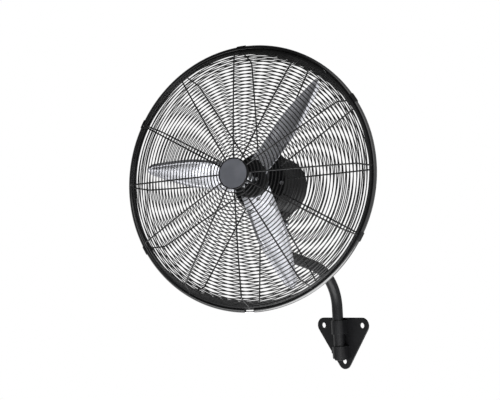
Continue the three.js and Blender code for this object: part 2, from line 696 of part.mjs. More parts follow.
// Rear shell: a drum with a rounded back, the rear bearing seat, the stator seat and a pad underneath.
function rearShell() {
  const backInner = SHELL_BACK_Z + SHELL_WALL;
  const roundSteps = 4;
  const rim = Array.from({ length: roundSteps + 1 }, (_, i) => {
    const angle = (Math.PI / 2) * (i / roundSteps);
    const radius = SHELL_REAR_RADIUS - SHELL_ROUND + SHELL_ROUND * Math.cos(angle);
    return [radius, SHELL_BACK_Z + SHELL_ROUND - SHELL_ROUND * Math.sin(angle)];
  });
  const drumProfile = [[0, shellFront], [shellFrontRadius, shellFront], ...rim, [0, SHELL_BACK_Z]];
  const drum = turned(drumProfile, SIDES_LARGE);
  const padHalfLength = CLEVIS_DEPTH / 2 + SHELL_PAD_MARGIN;
  const padEnds = [padZ - padHalfLength, padZ + padHalfLength];
  const padHigh = SHELL_PAD_SINK - Math.sqrt(SHELL_REAR_RADIUS ** 2 - SHELL_PAD_HALF_WIDTH ** 2);
  const pad = block([-SHELL_PAD_HALF_WIDTH, SHELL_PAD_HALF_WIDTH], [-padBelowAxis, padHigh], padEnds);
  const stator = statorSpan();
  const seatBack = stator.back - STATOR_SEAT_PAST_STACK;
  const seatFront = stator.front + STATOR_SEAT_PAST_STACK;
  const bearingSeat = BEARING_RADIUS + SEAT_GAP;
  const statorSeat = statorRadius + SEAT_GAP;
  const rearInner = SHELL_REAR_RADIUS - SHELL_WALL;
  const frontInner = shellFrontRadius - SHELL_WALL;
  const cavity = turned(
    [
      [0, backInner],
      [bearingSeat, backInner],
      [bearingSeat, rearBearingFront + BOSS_PAST_BEARING],
      [bossOuter, rearBearingFront + BOSS_PAST_BEARING],
      [bossOuter, backInner],
      [rearInner - SHELL_ROUND, backInner],
      [rearInner, backInner + SHELL_ROUND],
      [rearInner, seatBack],
      [statorSeat, seatBack],
      [statorSeat, seatFront],
      [frontInner, seatFront],
      [frontInner, shellFront + CUT_PAST],
      [0, shellFront + CUT_PAST],
    ],
    SIDES_LARGE,
  );
  const glandHole = disc(GLAND_NECK_RADIUS + SEAT_GAP, SHELL_BACK_Z - CUT_PAST, backInner + CUT_PAST, SIDES_SMALL);
  return cut(join(drum, pad), cavity, glandHole.translate(0, -GLAND_BELOW_AXIS, 0));
}

function statorSpan() {
  const front = (frontBearingBack + rearBearingFront) / 2 + STATOR_LENGTH / 2;
  return { front, back: front - STATOR_LENGTH };
}
mesh("motor_rear_shell", rearShell(), blackPaint, fan);

function statorWithWindings() {
  const { front, back } = statorSpan();
  const bore = ROTOR_RADIUS + AIR_GAP;
  const windingOuter = statorRadius - WINDING_STEP_IN;
  const windingInner = bore + WINDING_PAST_BORE;
  return turned(
    [
      [bore, back],
      [windingInner, back - WINDING_OVERHANG],
      [windingOuter, back - WINDING_OVERHANG],
      [windingOuter + WINDING_TAPER, back],
      [statorRadius, back],
      [statorRadius, front],
      [windingOuter + WINDING_TAPER, front],
      [windingOuter, front + WINDING_OVERHANG],
      [windingInner, front + WINDING_OVERHANG],
      [bore, front],
    ],
    SIDES_LARGE,
  );
}
mesh("motor_stator", statorWithWindings(), darkSteel, fan);

function bearing(front) {
  return washer(SHAFT_RADIUS + RUNNING_GAP, BEARING_RADIUS, front - BEARING_WIDTH, front);
}
mesh("front_bearing", bearing(frontBearingFront), zincSteel, fan);
mesh("rear_bearing", bearing(rearBearingFront), zincSteel, fan);

function cableGland() {
  const inside = SHELL_BACK_Z + SHELL_WALL + 2;
  const seat = SHELL_BACK_Z - SEAT_GAP;
  return turned(
    [
      [GLAND_BORE_RADIUS, inside],
      [GLAND_NECK_RADIUS, inside],
      [GLAND_NECK_RADIUS, seat],
      [GLAND_RADIUS, seat],
      [GLAND_RADIUS, seat - GLAND_NUT_LENGTH],
      [GLAND_NECK_RADIUS, seat - GLAND_LENGTH],
      [GLAND_BORE_RADIUS, seat - GLAND_LENGTH],
    ],
    SIDES_SMALL,
  );
}
mesh("cable_gland", cableGland(), blackPlastic, fan).position.y = -GLAND_BELOW_AXIS;

// ---- wire guards: a net of rings and spokes, square wires joined where they cross --------------

function wireNet(stations) {
  const bay = (2 * Math.PI) / SPOKES;
  const half = RING_WIRE / 2;
  const triangles = [];
  const quad = (a, b, c, d) => triangles.push(...a, ...b, ...c, ...a, ...c, ...d);
  const frames = stations.map(([radius, height], i) => {
    const [beforeR, beforeZ] = stations[Math.max(i - 1, 0)];
    const [afterR, afterZ] = stations[Math.min(i + 1, stations.length - 1)];
    const length = Math.hypot(afterR - beforeR, afterZ - beforeZ);
    return { radius, height, along: [(afterR - beforeR) / length, (afterZ - beforeZ) / length] };
  });
  // A corner of the wire: inward is -1 towards the hoop and 1 towards the centre.
  const corner = (i, angle, inward, outward) => {
    const { radius, height, along } = frames[i];
    const r = radius + half * (inward * along[0] + outward * along[1]);
    const z = height + half * (inward * along[1] - outward * along[0]);
    return [r * Math.cos(angle), r * Math.sin(angle), z];
  };
  const section = (i, angle) => [
    corner(i, angle, -1, -1), corner(i, angle, 1, -1), corner(i, angle, 1, 1), corner(i, angle, -1, 1),
  ];
  const last = frames.length - 1;
  frames.forEach(({ radius }, i) => {
    const halfSpoke = SPOKE_WIRE / 2 / radius;
    for (let k = 0; k < SPOKES; k++) {
      const centre = Math.PI / 2 + k * bay;
      const angles = [centre + halfSpoke];
      for (let m = 1; m < RING_SIDES_PER_BAY; m++) angles.push(centre + (bay * m) / RING_SIDES_PER_BAY);
      angles.push(centre + bay - halfSpoke);
      for (let m = 0; m + 1 < angles.length; m++) {
        const [a, b] = [section(i, angles[m]), section(i, angles[m + 1])];
        for (let s = 0; s < 4; s++) quad(a[s], a[(s + 1) % 4], b[(s + 1) % 4], b[s]);
      }
      const [a, b] = [section(i, centre - halfSpoke), section(i, centre + halfSpoke)];
      quad(a[0], a[1], b[1], b[0]);
      quad(a[2], a[3], b[3], b[2]);
      if (i === 0) quad(a[3], a[0], b[0], b[3]);
      if (i === last) quad(a[1], a[2], b[2], b[1]);
      if (i < last) {
        const nextHalf = SPOKE_WIRE / 2 / frames[i + 1].radius;
        const c = section(i + 1, centre - nextHalf);
        const d = section(i + 1, centre + nextHalf);
        const near = [a[1], a[2], b[2], b[1]];
        const far = [c[0], c[3], d[3], d[0]];
        for (let s = 0; s < 4; s++) quad(near[s], near[(s + 1) % 4], far[(s + 1) % 4], far[s]);
      }
    }
  });
  const geometry = new THREE.BufferGeometry();
  geometry.setAttribute("position", new THREE.Float32BufferAttribute(triangles, 3));
  return solid(geometry).volume() > 0 ? geometry : turnedInsideOut(geometry);
}

// Triangles listed the other way round, for a net whose stations run the other way along Z.
function turnedInsideOut(geometry) {
  const corners = geometry.getAttribute("position").array;
  for (let i = 0; i < corners.length; i += 9) {
    for (let k = i + 3; k < i + 6; k++) [corners[k], corners[k + 3]] = [corners[k + 3], corners[k]];
  }
  return geometry;
}

// Ring places of a guard: in the hoop, down its side to the shoulder, then over its crowned face.
function guardStations(side, shoulder, centre, rings, crown) {
  const seat = [guardSeatRadius, side * GUARD_SEAT_Z];
  const lip = [HOOP_RADIUS - 2 * HOOP_SECTION_RADIUS - RING_WIRE, side * GUARD_LIP_Z];
  const along = (from, to, t, lift) => [
    from[0] + (to[0] - from[0]) * t,
    from[1] + (to[1] - from[1]) * t + lift * 4 * t * (1 - t),
  ];
  const run = (count, from, to, lift) =>
    Array.from({ length: count }, (_, i) => along(from, to, (i + 1) / count, lift));
  return [seat, lip, ...run(rings.side, lip, shoulder, 0), ...run(rings.face, shoulder, centre, crown)];
}

const guardSeatRadius = HOOP_RADIUS - GUARD_SEAT_INSET;
const ringBack = BELL_FACE_Z + SEAT_GAP;
const ringFront = ringBack + MOUNT_RING_THICKNESS;
const frontShoulder = [HOOP_RADIUS - FRONT_SHOULDER_INSET, FRONT_SHOULDER_Z];
const frontCentre = [FRONT_CENTRE_RADIUS, FRONT_CENTRE_Z];
const rearShoulder = [HOOP_RADIUS - REAR_SHOULDER_INSET, REAR_SHOULDER_Z];
const rearCentre = [REAR_CENTRE_RADIUS, ringFront + 1.5 * SEAT_GAP + RING_WIRE / 2];
const frontRings = { side: FRONT_SIDE_RINGS, face: FRONT_FACE_RINGS };
const rearRings = { side: REAR_SIDE_RINGS, face: REAR_FACE_RINGS };
const frontStations = guardStations(1, frontShoulder, frontCentre, frontRings, FRONT_CROWN);
const rearStations = guardStations(-1, rearShoulder, rearCentre, rearRings, REAR_CROWN);
mesh("front_guard", wireNet(frontStations), blackWire, fan);
mesh("rear_guard", wireNet(rearStations), blackWire, fan);

// ---- ring and bolts that hold the rear guard on the motor --------------------------------------

function guardMountRing() {
  const ring = washer(...MOUNT_RING_RADII, ringBack, ringFront, SIDES_LARGE);
  return cut(ring, ...guardBoltHoles(ringBack - CUT_PAST, ringFront + CUT_PAST));
}
mesh("guard_mount_ring", guardMountRing(), blackPaint, fan);

guardBoltPlaces().forEach(([x, y], i) => {
  const grip = MOUNT_RING_THICKNESS + BELL_WALL;
  const bolt = mesh(`guard_bolt_${i + 1}`, hexBolt(GUARD_BOLT_RADIUS, grip), zincSteel, fan);
  bolt.position.set(x, y, ringFront + SEAT_GAP);
});

// ---- hoop that closes over the rims of both guards ---------------------------------------------

const hoopCentre = HOOP_RADIUS - HOOP_SECTION_RADIUS;

// C-shaped section, open towards the fan axis, as [radius, z] points.
function channel(outer, inner, openDeg, steps) {
  const from = radians(openDeg / 2 - 180);
  const to = radians(180 - openDeg / 2);
  const arc = (radius) =>
    Array.from({ length: steps + 1 }, (_, i) => {
      const angle = from + ((to - from) * i) / steps;
      return [hoopCentre + radius * Math.cos(angle), radius * Math.sin(angle)];
    });
  return [...arc(outer), ...arc(inner).reverse()];
}

function guardHoop() {
  const section = channel(HOOP_SECTION_RADIUS, HOOP_SECTION_RADIUS - HOOP_WALL, HOOP_MOUTH_DEG, 5);
  const band = turned(section, SIDES_HOOP);
  const gap = block(
    [-HOOP_GAP_LENGTH / 2, HOOP_GAP_LENGTH / 2],
    [-HOOP_RADIUS - HOOP_SECTION_RADIUS, -HOOP_RADIUS + 3 * HOOP_SECTION_RADIUS],
    [-2 * HOOP_SECTION_RADIUS, 2 * HOOP_SECTION_RADIUS],
  );
  const lugDepth = HOOP_SECTION_RADIUS - HOOP_WALL / 2;
  const lugTop = -guardSeatRadius - RING_WIRE / 2 - SEAT_GAP;
  const lugs = [-1, 1].map((side) => {
    const inside = side * (HOOP_GAP_LENGTH / 2);
    const outside = side * (HOOP_GAP_LENGTH / 2 + HOOP_LUG);
    const x = [Math.min(inside, outside), Math.max(inside, outside)];
    return block(x, [-HOOP_RADIUS - HOOP_LUG_PAST_BAND, lugTop], [-lugDepth, lugDepth]);
  });
  const hole = disc(HOOP_BOLT_RADIUS + SEAT_GAP, -HOOP_GAP_LENGTH, HOOP_GAP_LENGTH, SIDES_SMALL)
    .rotateY(Math.PI / 2)
    .translate(0, hoopBoltY, 0);
  return cut(join(cut(band, gap), ...lugs), hole);
}
const hoopBoltY = -HOOP_RADIUS + HOOP_BOLT_INSET;
mesh("guard_hoop", guardHoop(), blackPaint, fan);

// Closing bolt across the gap of the hoop, inside its section, with a nut at the other lug.
const hoopBoltLength = HOOP_GAP_LENGTH + HOOP_LUG + SEAT_GAP;
const [hoopHeadRadius, hoopHeadHeight] = HOOP_BOLT_HEAD;
const [hoopNutRadius, hoopNutHeight] = HOOP_NUT;
function hoopBoltShape() {
  const head = disc(hoopHeadRadius, 0, hoopHeadHeight, SIDES_SMALL);
  return join(head, disc(HOOP_BOLT_RADIUS, -hoopBoltLength, hoopHeadHeight / 2, SIDES_SMALL));
}
const hoopBolt = mesh("hoop_bolt", hoopBoltShape(), zincSteel, fan);
hoopBolt.rotation.y = Math.PI / 2;
hoopBolt.position.set(HOOP_GAP_LENGTH / 2 - hoopHeadHeight - SEAT_GAP, hoopBoltY, 0);
const hoopNut = mesh(
  "hoop_nut",
  washer(HOOP_BOLT_RADIUS + SEAT_GAP, hoopNutRadius, 0, hoopNutHeight, 6),
  zincSteel,
  fan,
);
hoopNut.rotation.y = Math.PI / 2;
hoopNut.position.set(-HOOP_GAP_LENGTH / 2 + SEAT_GAP, hoopBoltY, 0);

// Spring clips over the hoop.
function hoopClip() {
  const inner = HOOP_SECTION_RADIUS + SEAT_GAP;
  const profile = channel(inner + CLIP_WALL, inner, 360 - CLIP_WRAP_DEG, 6);
  const sweep = CLIP_LENGTH / HOOP_RADIUS;
  const steps = 3;
  const triangles = [];
  const quad = (a, b, c, d) => triangles.push(...a, ...b, ...c, ...a, ...c, ...d);
  const place = ([r, z], k) => {
    const angle = sweep * (k / steps - 0.5);
    return [r * Math.cos(angle), r * Math.sin(angle), z];
  };
  const count = profile.length;
  const outerCount = count / 2;
  for (let k = 0; k < steps; k++) {
    for (let i = 0; i < count; i++) {
      const [p, q] = [profile[i], profile[(i + 1) % count]];
      quad(place(p, k), place(p, k + 1), place(q, k + 1), place(q, k));
    }
  }
  for (let i = 0; i + 1 < outerCount; i++) {
    const [p, q] = [profile[i], profile[i + 1]];
    const [s, t] = [profile[count - 1 - i], profile[count - 2 - i]];
    quad(place(p, 0), place(q, 0), place(t, 0), place(s, 0));
    quad(place(q, steps), place(p, steps), place(s, steps), place(t, steps));
  }
  const geometry = new THREE.BufferGeometry();
  geometry.setAttribute("position", new THREE.Float32BufferAttribute(triangles, 3));
  return geometry;
}
CLIP_ANGLES_DEG.forEach((angle, i) => {
  mesh(`hoop_clip_${i + 1}`, hoopClip(), blackPaint, fan).rotation.z = radians(angle);
});

// ---- centre cap and its backing plate ----------------------------------------------------------

const capBack = FRONT_CENTRE_Z + RING_WIRE / 2 + SEAT_GAP;
const capFront = capBack + CAP_THICKNESS;
const backingFront = FRONT_CENTRE_Z - RING_WIRE / 2 - SEAT_GAP;
const backingBack = backingFront - BACKING_THICKNESS;
const screwHole = CAP_SCREW_RADIUS + SEAT_GAP;
const screwHoleEnd = capBack + CAP_SCREW_IN_CAP + CAP_HOLE_PAST_SCREW;
const cap = turned(
  [
    [0, screwHoleEnd],
    [screwHole, screwHoleEnd],
    [screwHole, capBack],
    [CAP_RADIUS, capBack],
    [CAP_RADIUS, capFront - CAP_BEVEL],
    [CAP_RADIUS - CAP_BEVEL, capFront],
    [0, capFront],
  ],
  SIDES_LARGE,
);
mesh("front_cap", cap, greyCap, fan);
const backing = washer(screwHole, BACKING_RADIUS, backingBack, backingFront, SIDES_LARGE);
mesh("cap_backing_plate", backing, blackPaint, fan);
const capScrewGrip = BACKING_THICKNESS + RING_WIRE + 2 * SEAT_GAP + CAP_SCREW_IN_CAP;
const capScrew = mesh("cap_screw", panScrew(CAP_SCREW_RADIUS, capScrewGrip), zincSteel, fan);
capScrew.position.z = backingBack - SEAT_GAP;
capScrew.rotation.x = Math.PI;

// ---- rotor of the motor ------------------------------------------------------------------------

const rotor = new THREE.Group();
fan.add(rotor);
const shaftBack = rearBearingBack + 1;
mesh(
  "motor_shaft",
  turned(
    [
      [0, shaftBack],
      [SHAFT_RADIUS, shaftBack],
      [SHAFT_RADIUS, SHAFT_FRONT_Z - SHAFT_CHAMFER],
      [SHAFT_RADIUS - SHAFT_CHAMFER, SHAFT_FRONT_Z],
      [0, SHAFT_FRONT_Z],
    ],
    SIDES_MEDIUM,
  ),
  zincSteel,
  rotor,
);
const core = statorSpan();
const rotorCore = washer(SHAFT_RADIUS + SEAT_GAP, ROTOR_RADIUS, core.back, core.front, SIDES_LARGE);
mesh("motor_rotor_core", rotorCore, darkSteel, rotor);

// ---- hub: boss on the shaft, pressed spider behind the blades, dished plate in front ------------

const shaftFit = SHAFT_RADIUS + SEAT_GAP;
const flangeFront = BOSS_BACK_Z + BOSS_FLANGE;
const spiderBack = flangeFront + SEAT_GAP;

function hubBoss() {
  const shape = turned(
    [
      [shaftFit, BOSS_BACK_Z],
      [BOSS_FLANGE_RADIUS, BOSS_BACK_Z],
      [BOSS_FLANGE_RADIUS, flangeFront],
      [BOSS_RADIUS, flangeFront],
      [BOSS_RADIUS, BOSS_FRONT_Z - SHAFT_CHAMFER],
      [BOSS_RADIUS - SHAFT_CHAMFER, BOSS_FRONT_Z],
      [shaftFit, BOSS_FRONT_Z],
    ],
    SIDES_MEDIUM,
  );
  const setScrewHole = disc(SET_SCREW_RADIUS + SEAT_GAP, 0, 2 * BOSS_RADIUS, SIDES_SMALL)
    .rotateY(Math.PI / 2)
    .translate(0, 0, setScrewZ);
  return cut(shape, setScrewHole, ...hubScrewHoles(BOSS_BACK_Z - CUT_PAST, flangeFront + CUT_PAST));
}
const setScrewZ = BOSS_FRONT_Z - SET_SCREW_BEHIND_FRONT;

function hubScrewPlaces() {
  return Array.from({ length: HUB_SCREWS }, (_, i) => {
    const angle = radians(FIRST_BLADE_DEG + 180 / BLADES + (360 / HUB_SCREWS) * i);
    return [HUB_SCREW_CIRCLE * Math.cos(angle), HUB_SCREW_CIRCLE * Math.sin(angle)];
  });
}

function hubScrewHoles(low, high) {
  const radius = SCREW_RADIUS + SEAT_GAP;
  return hubScrewPlaces().map(([x, y]) => disc(radius, low, high, SIDES_SMALL).translate(x, y, 0));
}

// Pitch of a blade at a distance from the axis: even on its flat root, then less and less.
const bladeTipRadius = HOOP_RADIUS - BLADE_TIP_INSET;
const bladeFlatEnd = BLADE_ROOT_RADIUS + BLADE_FLAT_LENGTH;
const rivetsOnBlade = RIVETS_FROM_ROOT.map(([along, offset]) => [BLADE_ROOT_RADIUS + along, offset]);
function bladePitch(distance) {
  const t = Math.max(0, (distance - bladeFlatEnd) / (bladeTipRadius - bladeFlatEnd));
  return radians(BLADE_ROOT_PITCH_DEG + (BLADE_TIP_PITCH_DEG - BLADE_ROOT_PITCH_DEG) * t);
}

function bladeCamber(distance, across) {
  const t = Math.min(1, Math.max(0, (distance - bladeFlatEnd) / (BLADE_WIDEST - bladeFlatEnd)));
  const rise = BLADE_CAMBER * t * t * (3 - 2 * t);
  return rise * (1 - across * across);
}

// Point on a sheet that follows the blade: distance out, offset across, and height off the sheet.
function onBlade(distance, offset, height) {
  const pitch = bladePitch(distance);
  const y = offset * Math.cos(pitch) + height * Math.sin(pitch);
  const z = BLADE_PLANE_Z - offset * Math.sin(pitch) + height * Math.cos(pitch);
  return [distance, y, z];
}

// Closed sheet from a grid of [distance, offset, lift] points, of the given thickness.
function sheet(rows, bottom, top) {
  const triangles = [];
  const quad = (a, b, c, d) => triangles.push(...a, ...b, ...c, ...a, ...c, ...d);
  const point = (i, j, height) => {
    const [distance, offset, lift] = rows[i][j];
    return onBlade(distance, offset, lift + height);
  };
  const lastRow = rows.length - 1;
  const lastColumn = rows[0].length - 1;
  for (let i = 0; i < lastRow; i++) {
    for (let j = 0; j < lastColumn; j++) {
      quad(point(i, j, top), point(i + 1, j, top), point(i + 1, j + 1, top), point(i, j + 1, top));
      const under = [[i, j], [i, j + 1], [i + 1, j + 1], [i + 1, j]];
      quad(...under.map(([row, column]) => point(row, column, bottom)));
    }
    quad(point(i, 0, bottom), point(i + 1, 0, bottom), point(i + 1, 0, top), point(i, 0, top));
    const j = lastColumn;
    quad(point(i + 1, j, bottom), point(i, j, bottom), point(i, j, top), point(i + 1, j, top));
  }
  for (let j = 0; j < lastColumn; j++) {
    quad(point(0, j + 1, bottom), point(0, j, bottom), point(0, j, top), point(0, j + 1, top));
    const [here, next] = [j, j + 1].map((column) => (height) => point(lastRow, column, height));
    quad(here(bottom), next(bottom), next(top), here(top));
  }
  const geometry = new THREE.BufferGeometry();
  geometry.setAttribute("position", new THREE.Float32BufferAttribute(triangles, 3));
  return geometry;
}

// Half width of the blade: widest at a third of its length, narrowing to the tip.
function bladeHalfWidth(distance) {
  if (distance < BLADE_WIDEST) {
    const t = Math.max(0, (distance - BLADE_ROOT_RADIUS) / (BLADE_WIDEST - BLADE_ROOT_RADIUS));
    const growth = BLADE_MID_HALF_WIDTH - BLADE_ROOT_HALF_WIDTH;
    return BLADE_ROOT_HALF_WIDTH + growth * Math.sin((t * Math.PI) / 2);
  }
  const t = (distance - BLADE_WIDEST) / (bladeTipRadius - BLADE_WIDEST);
  return BLADE_MID_HALF_WIDTH + (BLADE_TIP_HALF_WIDTH - BLADE_MID_HALF_WIDTH) * t ** BLADE_TAPER_POWER;
}

function bladeSheet() {
  const columns = 6;
  const rows = 8;
  const grid = Array.from({ length: rows + 1 }, (_, i) =>
    Array.from({ length: columns + 1 }, (_, j) => {
      const across = (2 * j) / columns - 1;
      const rootOffset = across * BLADE_ROOT_HALF_WIDTH;
      const root = Math.sqrt(BLADE_ROOT_RADIUS ** 2 - rootOffset ** 2);
      const tip = bladeTipRadius - BLADE_TIP_ROUND * Math.abs(across) ** 3;
      const flat = i === 0 ? 0 : bladeFlatEnd;
      const distance = i === 0 ? root : flat + ((tip - flat) * (i - 1)) / (rows - 1);
      return [distance, across * bladeHalfWidth(distance), bladeCamber(distance, across)];
    }),
  );
  return sheet(grid, 0, BLADE_SHEET);
}

const shankLow = -SPIDER_SHEET - 2 * SEAT_GAP;
function rivetHole([distance, offset]) {
  return disc(RIVET_RADIUS + SEAT_GAP, shankLow - 4, BLADE_SHEET + 4, SIDES_SMALL)
    .applyMatrix4(rivetFrame(distance, offset));
}

// Stands a piece made along Z on the flat root of the blade.
function rivetFrame(distance, offset) {
  const pitch = bladePitch(distance);
  const matrix = new THREE.Matrix4().makeRotationX(-pitch);
  const [x, y, z] = onBlade(distance, offset, 0);
  return matrix.setPosition(x, y, z);
}

function spider() {
  const back = -SEAT_GAP - SPIDER_SHEET;
  const neck = SPIDER_DISC_RADIUS - SPIDER_DISC_THICKNESS;
  const tabEnd = BLADE_ROOT_RADIUS + TAB_LENGTH;
  const tabRows = [
    [neck, TAB_NECK_HALF_WIDTH],
    [BLADE_ROOT_RADIUS + 2, TAB_NECK_HALF_WIDTH + 2],
    [BLADE_ROOT_RADIUS + TAB_NECK_LENGTH, TAB_HALF_WIDTH],
    [tabEnd - TAB_CORNER, TAB_HALF_WIDTH],
    [tabEnd, TAB_HALF_WIDTH - TAB_CORNER],
  ].map(([distance, half]) => [-1, 0, 1].map((side) => [distance, side * half, 0]));
  const tab = cut(sheet(tabRows, back, -SEAT_GAP), ...rivetsOnBlade.map(rivetHole));
  const tabs = bladeAngles().map((angle) => tab.clone().rotateZ(angle));
  const middle = disc(SPIDER_DISC_RADIUS, spiderBack, spiderBack + SPIDER_DISC_THICKNESS, SIDES_LARGE);
  const bore = disc(BOSS_RADIUS + SEAT_GAP, BOSS_BACK_Z, BOSS_FRONT_Z, SIDES_MEDIUM);
  return cut(join(middle, ...tabs), bore, ...hubScrewHoles(BOSS_BACK_Z, HUB_PLATE_Z));
}

function bladeAngles() {
  return Array.from({ length: BLADES }, (_, i) => radians(FIRST_BLADE_DEG + (360 / BLADES) * i));
}

function hubPlate() {
  const back = HUB_PLATE_Z - HUB_PLATE_SHEET;
  const plateRadius = BLADE_ROOT_RADIUS - HUB_PLATE_INSIDE_BLADES;
  const shape = turned(
    [
      [BOSS_RADIUS + SEAT_GAP, back],
      [HUB_PLATE_FLAT_RADIUS, back],
      [plateRadius, back - HUB_PLATE_DROP],
      [plateRadius, HUB_PLATE_Z - HUB_PLATE_DROP],
      [HUB_PLATE_FLAT_RADIUS, HUB_PLATE_Z],
      [BOSS_RADIUS + SEAT_GAP, HUB_PLATE_Z],
    ],
    SIDES_LARGE,
  );
  return cut(shape, ...hubScrewHoles(back - CUT_PAST, HUB_PLATE_Z + CUT_PAST));
}

mesh("hub_boss", hubBoss(), darkSteel, rotor);
mesh("blade_spider", spider(), darkSteel, rotor);
mesh("hub_plate", hubPlate(), blackPaint, rotor);

const setScrewShape = disc(SET_SCREW_RADIUS, SHAFT_RADIUS + 2 * SEAT_GAP, BOSS_RADIUS + 1, SIDES_SMALL);
const setScrew = mesh("boss_set_screw", setScrewShape, zincSteel, rotor);
setScrew.rotation.y = Math.PI / 2;
setScrew.position.z = setScrewZ;

hubScrewPlaces().forEach(([x, y], i) => {
  const grip = HUB_PLATE_Z - BOSS_BACK_Z;
  const screw = mesh(`hub_screw_${i + 1}`, panScrew(SCREW_RADIUS, grip), zincSteel, rotor);
  screw.position.set(x, y, HUB_PLATE_Z + SEAT_GAP);
});

// ---- blades and their rivets -------------------------------------------------------------------

function rivet() {
  const low = shankLow - SEAT_GAP;
  const high = BLADE_SHEET + SEAT_GAP;
  return turned(
    [
      [0, low - RIVET_HEAD],
      [RIVET_CROWN_RADIUS, low - RIVET_HEAD],
      [RIVET_HEAD_RADIUS, low],
      [RIVET_RADIUS, low],
      [RIVET_RADIUS, high],
      [RIVET_HEAD_RADIUS, high],
      [RIVET_CROWN_RADIUS, high + RIVET_HEAD],
      [0, high + RIVET_HEAD],
    ],
    SIDES_SMALL,
  );
}

const bladeShape = cut(bladeSheet(), ...rivetsOnBlade.map(rivetHole));
bladeAngles().forEach((angle, i) => {
  const holder = new THREE.Group();
  holder.rotation.z = angle;
  rotor.add(holder);
  mesh(`blade_${i + 1}`, bladeShape, aluminium, holder);
  rivetsOnBlade.forEach(([distance, offset], k) => {
    const piece = mesh(`blade_${i + 1}_rivet_${k + 1}`, rivet(), zincSteel, holder);
    piece.applyMatrix4(rivetFrame(distance, offset));
  });
});

export default part;
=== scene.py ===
# A wall mounted fan: a caged three-blade fan head on a bent tube arm, clamped to a wall plate.
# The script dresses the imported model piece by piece, from the wall out to the front of the cage.
# Lengths are in metres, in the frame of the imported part: X right, Y into the wall, Z up.
import json
from math import atan2, cos, hypot, pi, radians, sin, sqrt, tau

import bmesh
import bpy
from mathutils import Matrix, Vector


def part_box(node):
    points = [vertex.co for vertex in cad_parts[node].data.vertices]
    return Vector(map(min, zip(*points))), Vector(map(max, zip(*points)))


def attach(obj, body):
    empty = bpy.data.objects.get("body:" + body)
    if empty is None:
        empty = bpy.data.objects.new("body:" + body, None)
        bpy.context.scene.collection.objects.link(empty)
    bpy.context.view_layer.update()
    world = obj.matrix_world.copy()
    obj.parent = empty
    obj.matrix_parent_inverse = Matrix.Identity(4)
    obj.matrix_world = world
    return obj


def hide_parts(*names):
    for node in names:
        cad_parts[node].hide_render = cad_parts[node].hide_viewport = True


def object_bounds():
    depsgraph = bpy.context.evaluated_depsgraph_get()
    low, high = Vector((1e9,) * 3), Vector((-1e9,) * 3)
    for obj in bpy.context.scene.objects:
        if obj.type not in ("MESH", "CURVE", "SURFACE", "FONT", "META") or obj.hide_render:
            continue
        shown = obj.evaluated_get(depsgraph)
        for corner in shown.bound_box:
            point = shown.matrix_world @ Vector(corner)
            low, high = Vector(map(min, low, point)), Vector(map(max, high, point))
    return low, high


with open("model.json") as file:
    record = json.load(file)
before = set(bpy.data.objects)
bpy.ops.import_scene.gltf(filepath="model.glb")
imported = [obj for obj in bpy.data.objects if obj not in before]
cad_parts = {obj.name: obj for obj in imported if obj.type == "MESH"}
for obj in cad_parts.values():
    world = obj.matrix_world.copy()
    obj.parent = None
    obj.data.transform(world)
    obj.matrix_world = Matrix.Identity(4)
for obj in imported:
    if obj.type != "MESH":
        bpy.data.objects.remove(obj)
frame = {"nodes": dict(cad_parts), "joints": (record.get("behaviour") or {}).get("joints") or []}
cad_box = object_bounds()
scene = bpy.context.scene

# ---- camera ----------------------------------------------------------------------------------
# The view of the photograph: from the right of the fan and a little below its axis, through a
# long lens, with the camera leaning slightly.
camera_azimuth = radians(44.61)
camera_elevation = radians(-4.52)
camera_lean = radians(-2.92)
camera_place = Vector((1.6751, -2.0674, 0.2194))
lens_over_picture_width = 880 / 500
sensor_width = 36.0

back = Vector((
    sin(camera_azimuth) * cos(camera_elevation),
    -cos(camera_azimuth) * cos(camera_elevation),
    sin(camera_elevation),
))
level_right = Vector((cos(camera_azimuth), sin(camera_azimuth), 0))
level_up = back.cross(level_right)
right = level_right * cos(camera_lean) + level_up * sin(camera_lean)
up = level_up * cos(camera_lean) - level_right * sin(camera_lean)


def linked(name, data):
    """A new object in the scene."""
    thing = bpy.data.objects.new(name, data)
    scene.collection.objects.link(thing)
    return thing


lens = bpy.data.cameras.new("camera")
lens.sensor_width = sensor_width
lens.lens = lens_over_picture_width * sensor_width
camera = linked("camera", lens)
camera.matrix_world = Matrix.Translation(camera_place) @ Matrix((right, up, back)).transposed().to_4x4()
scene.camera = camera

# ---- studio ----------------------------------------------------------------------------------
# A white studio: a pale floor well below the fan, soft boxes above right, low in front and under
# the hoop, and a surround that is white to the camera.
floor_drop = 0.75
floor_half = 6.0
floor_colour = (0.86, 0.86, 0.86, 1)
surround_light = 0.42
# What the paint and the blades mirror of the surround, as its brightness at places from left, -1,
# to right, 1. It is dark in front, as in a light tent with a gap for the camera.
mirror_levels = [(-0.92, 1.0), (-0.66, 0.42), (-0.20, 0.07), (0.14, 0.09), (0.42, 0.85), (0.60, 1.0)]

scene.view_settings.view_transform = "Standard"


def feed(tree, node, inputs):
    """Sets or links a node's inputs, each of which is a value or a socket."""
    for slot, value in inputs.items():
        if isinstance(value, bpy.types.NodeSocket):
            tree.links.new(value, node.inputs[slot])
        else:
            node.inputs[slot].default_value = value


def added(tree, kind, inputs=None, **settings):
    """A new node with its settings and inputs."""
    node = tree.nodes.new(kind)
    for setting, value in settings.items():
        setattr(node, setting, value)
    feed(tree, node, inputs or {})
    return node


